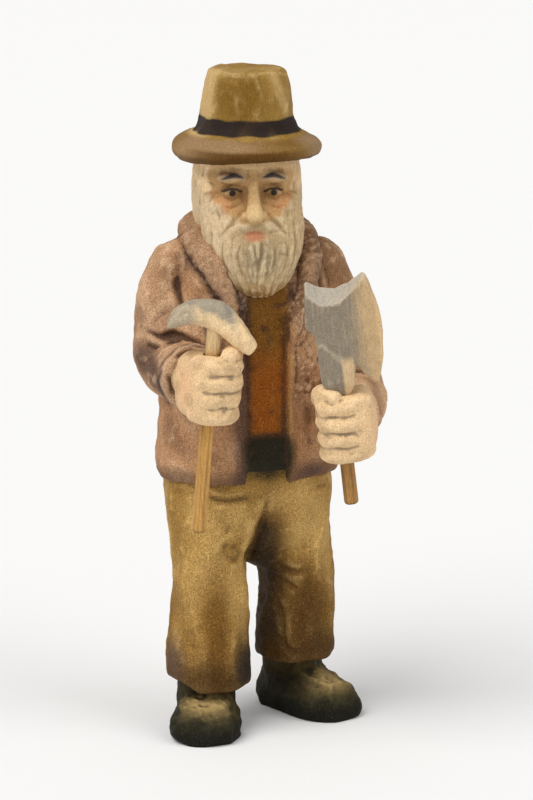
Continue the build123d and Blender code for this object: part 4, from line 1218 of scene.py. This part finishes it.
def dowel(name, foot, rise, length, tone, seed, body, nodes):
    """Round bar 4 mm thick from foot along rise: rings every half millimetre, a little out of
    round, with its ends broken by a few strokes of sandpaper."""
    foot_end, top_end = [0.0, 0.1, 0.35], [length - 0.35, length - 0.1, length]
    s = np.concatenate([foot_end, np.linspace(0.8, length - 0.8, 120), top_end])
    radius = np.interp(s, [*foot_end, 0.8, length - 0.8, *top_end],
                       [1.3, 1.62, 1.88, 2.0, 2.0, 1.88, 1.62, 1.3])
    a = np.linspace(0, 2 * math.pi, 64, endpoint=False)
    side = unit(np.cross(rise, (0.0, 1.0, 0.0)))
    other = np.cross(rise, side)
    ring = side * np.cos(a)[:, None] + other * np.sin(a)[:, None]
    rings = foot + s[:, None, None] * rise + radius[:, None, None] * ring
    thing = piece_from(name, *skin(rings))
    points, normals = points_of(thing), normals_of(thing)
    local = (points - foot) @ np.stack([side, other, rise]).T
    shape(thing, points + normals * (0.03 * cloud(local, (1.4, 1.4, 30.0), seed))[:, None])
    paint = np.tile(tone, (len(points), 1))
    fibre = cloud(local, (0.8, 0.8, 22.0), seed + 1)
    paint = mixed(paint, np.asarray(tone) * 0.45, 0.6 * ramp(fibre, 0.1, 1.2))
    paint = mixed(paint, np.asarray(tone) * 1.5, 0.45 * ramp(-fibre, 0.2, 1.2))
    paint = mixed(paint, (0.72, 0.53, 0.29), 0.75 * ramp(local[:, 2], length - 14, length - 8))
    paint = mixed(paint, np.asarray(tone) * 0.35, 0.6 * ramp(1.0 - local[:, 2], 0, 0.8))
    painted(thing, paint)
    placed(thing, body, nodes, dowel_stain)


dowel_stain = stained_wood("dowel_wood", fibre_size=0.4, streaks=0.5, speckle=0.2, bump_mm=0.06)
dowel_stain.node_tree.nodes["Principled BSDF"].inputs["Coat Weight"].default_value = 0.12
pick_tone = (0.47, 0.255, 0.072)
dowel("pick_dowel", pick_foot, pick_rise, 62.6, pick_tone, 71, "pick", ["pick_handle"])

upper = curve([(-12.9, 0.5), (-12.5, 2.6), (-10.8, 5.3), (-7.6, 7.5), (-2.6, 8.5), (2.8, 7.5), (7.2, 3.4),
               (10.2, -0.6), (12.2, -3.5)], 110)
lower = curve([(-12.8, 0.1), (-11.6, 0.2), (-9.0, 0.9), (-5.6, 1.5), (-2.2, 0.8), (1.0, -0.6), (4.0, -2.7),
               (7.2, -4.9), (10.3, -6.2)], 110)
share = np.linspace(0, 1, 110)
half_thick = np.interp(share, [0, 0.02, 0.08, 0.25, 0.6, 0.9, 1.0], [0.9, 1.5, 2.5, 3.3, 3.2, 2.4, 1.6])
a = np.linspace(0, 2 * math.pi, 96, endpoint=False)
c = powered(np.cos(a), 0.8)[None, :, None]
s = powered(np.sin(a), 0.8)[None, :, None]
flat_rings = ((upper + lower) / 2)[:, None] + c * ((upper - lower) / 2)[:, None]
rings = np.concatenate([flat_rings, s * half_thick[:, None, None]], -1)
pick_eye = pick_foot + pick_rise * 58.1
pick_axes = tool_axes(pick_rise)
pick_head = piece_from("carved_pick_head", *skin(rings @ pick_axes + pick_eye))
soften(pick_head, 2)
knife_facets(pick_head, spacing=3.2, depth=0.22, seed=73, share=0.85)
p, n = points_of(pick_head), normals_of(pick_head)
shape(pick_head, p + n * (0.08 * cloud(p, 2.6, 74))[:, None])
p, n = points_of(pick_head), normals_of(pick_head)
local = (p - pick_eye) @ pick_axes.T
grey_edge = 4.6 - 0.42 * local[:, 0] - 0.035 * local[:, 0] ** 2 + 0.5 * cloud(p, 3.0, 75)
grey = np.maximum(ramp(local[:, 1] - grey_edge, -1.2, 1.6), 0.8 * ramp(-local[:, 0], 2.0, 8.0))
grey = np.maximum(grey, ramp(local[:, 2], 0.5, 2.0)) * ramp(7.6 - local[:, 0], 0, 3.6)
paint = np.tile((0.82, 0.60, 0.345), (len(p), 1))
paint = mixed(paint, (0.60, 0.42, 0.23), 0.5 * ramp(cloud(p, (3.0, 3.0, 5.0), 76), 0.1, 1.1))
paint = mixed(paint, (0.320, 0.280, 0.215), 0.92 * grey)
paint = mixed(paint, (0.20, 0.18, 0.15), 0.5 * grey * ramp(cloud(p, 3.0, 77), 0.3, 1.2))
# Painted highlight on the head's sharp edges.
paint = mixed(paint, (0.80, 0.62, 0.38), 0.5 * ramp(-hollow_of(pick_head, 10, 0.08), 0.2, 0.9))
painted(pick_head, paint)
tool_stain = stained_wood("tool_stain", fibre_size=0.45, streaks=0.22, speckle=0.30, bump_mm=0.10)
placed(pick_head, "pick", ["pick_head"], tool_stain)


# ---------------------------------------------------------------- broad axe
# Broad axe with a long bearded blade: one carved plate, thick at the socket and ground to an
# edge, its top hollowed. Grey stain fades to a bare bevel; the dowel stands in the socket.
axe_tone = (0.36, 0.185, 0.055)
dowel("axe_dowel", axe_foot, axe_rise, 43.2, axe_tone, 81, "axe", ["axe_handle"])
corners = np.array([
    (-5.9, 31.4), (-3.6, 29.3), (-0.4, 28.0), (2.6, 28.2), (5.8, 29.8), (8.6, 31.9), (10.2, 33.3),
    (11.6, 30.2), (12.9, 25.6), (13.6, 20.6), (13.7, 15.6), (13.2, 10.0), (12.2, 5.2), (11.2, 1.9),
    (9.2, 3.6), (7.2, 6.0), (5.6, 8.3), (4.7, 5.2), (4.2, 1.6), (3.0, 0.1), (0.0, -0.3), (-2.8, 0.6),
    (-4.2, 4.2), (-4.4, 11.0), (-4.6, 18.4), (-6.7, 19.7), (-7.0, 21.6), (-6.6, 25.4), (-6.2, 29.6),
])
closed = np.vstack([corners, corners[:1]])
run = np.concatenate([[0], np.cumsum(np.linalg.norm(np.diff(closed, axis=0), axis=1))])
even = np.linspace(0, run[-1], 360, endpoint=False)
loop = np.stack([np.interp(even, run, closed[:, 0]), np.interp(even, run, closed[:, 1])], 1)
for _ in range(3):
    loop = (np.roll(loop, 1, 0) + 2 * loop + np.roll(loop, -1, 0)) / 4
middle = np.array([1.6, 16.0])
shrink = np.concatenate([np.linspace(0.03, 0.94, 40), np.linspace(0.95, 1.0, 6)])
face = middle + shrink[:, None, None] * (loop - middle)
wedge = np.interp(face[..., 0], [-6.2, -4.4, -2.4, 3.4, 6.0, 13.9], [2.5, 3.3, 3.8, 3.5, 2.5, 0.35])
socket_line = 17.5 - 1.05 * (face[..., 0] + 4.4)
swell = 0.95 * np.exp(-((face[..., 0] / 4.0) ** 4)) * ramp(socket_line - face[..., 1], -0.6, 1.2)
thin_beard = ramp(face[..., 0], 4.2, 6.2) * ramp(17 - face[..., 1], 0, 5)
half = (wedge + swell) * (1 - 0.35 * thin_beard)
half *= 1 - 0.3 * ramp(5 - face[..., 1], 0, 5) * ramp(4.5 - face[..., 0], 0, 1)
half = half * (1 - 0.10 * ramp(shrink, 0.95, 1.0)[:, None])
front_rings = np.concatenate([face, -half[..., None]], -1)
rim_rows = np.linspace(-1, 1, 12)[1:-1]
rim = np.stack([np.concatenate([face[-1], (row * half[-1])[:, None]], -1) for row in rim_rows])
back_rings = np.concatenate([face, half[..., None]], -1)[::-1]
axe_eye = axe_foot + axe_rise * 33.2
axe_axes = tool_axes(axe_rise)
rings = np.concatenate([front_rings, rim, back_rings])
rings[..., 1] += 0.42 * rings[..., 2] * ramp(rings[..., 1], 22.0, 29.0)
axe_head = piece_from("carved_axe_head", *skin(rings @ axe_axes + axe_eye))
soften(axe_head, 1)
knife_facets(axe_head, spacing=3.6, depth=0.20, seed=83, share=0.8)
p, n = points_of(axe_head), normals_of(axe_head)
local = (p - axe_eye) @ axe_axes.T
ribs = 0.05 * cloud(local, (0.9, 12.0, 6.0), 84) + 0.06 * cloud(local, 3.0, 85)
shape(axe_head, p + n * ribs[:, None])
p, n = points_of(axe_head), normals_of(axe_head)
local = (p - axe_eye) @ axe_axes.T
paint = np.tile((0.270, 0.222, 0.160), (len(p), 1))
paint = mixed(paint, (0.225, 0.195, 0.155), 0.4 * ramp(cloud(local, (1.0, 12.0, 4.0), 86), 0.0, 1.1))
paint = mixed(paint, (0.42, 0.36, 0.27), 0.3 * ramp(cloud(local, (0.9, 9.0, 4.0), 87), 0.3, 1.3))
bevel_edge = 5.4 + 0.6 * cloud(local, (2.0, 7.0, 4.0), 88)
paint = mixed(paint, (0.58, 0.395, 0.205), 0.9 * ramp(local[:, 0] - bevel_edge, -1.8, 5.6))
paint = mixed(paint, (0.70, 0.48, 0.25), 0.8 * ramp(local[:, 0], 11.6, 13.4))
facet = ramp(local[:, 0], 1.4, 2.2) * ramp(5.2 - local[:, 0], 0, 0.5) * ramp(12.0 - local[:, 1], 0, 3)
paint = mixed(paint, (0.70, 0.49, 0.27), 0.85 * facet)
# Painted highlight on the upward-facing top of the head.
paint = mixed(paint, (0.50, 0.45, 0.37), 0.7 * ramp(n @ axe_rise, 0.35, 0.8))
# Painted highlight on the sharp edges.
paint = mixed(paint, (0.56, 0.45, 0.31), 0.3 * ramp(-hollow_of(axe_head, 8, 0.10), 0.4, 1.0))
painted(axe_head, paint)
placed(axe_head, "axe", ["axe_head"], tool_stain)
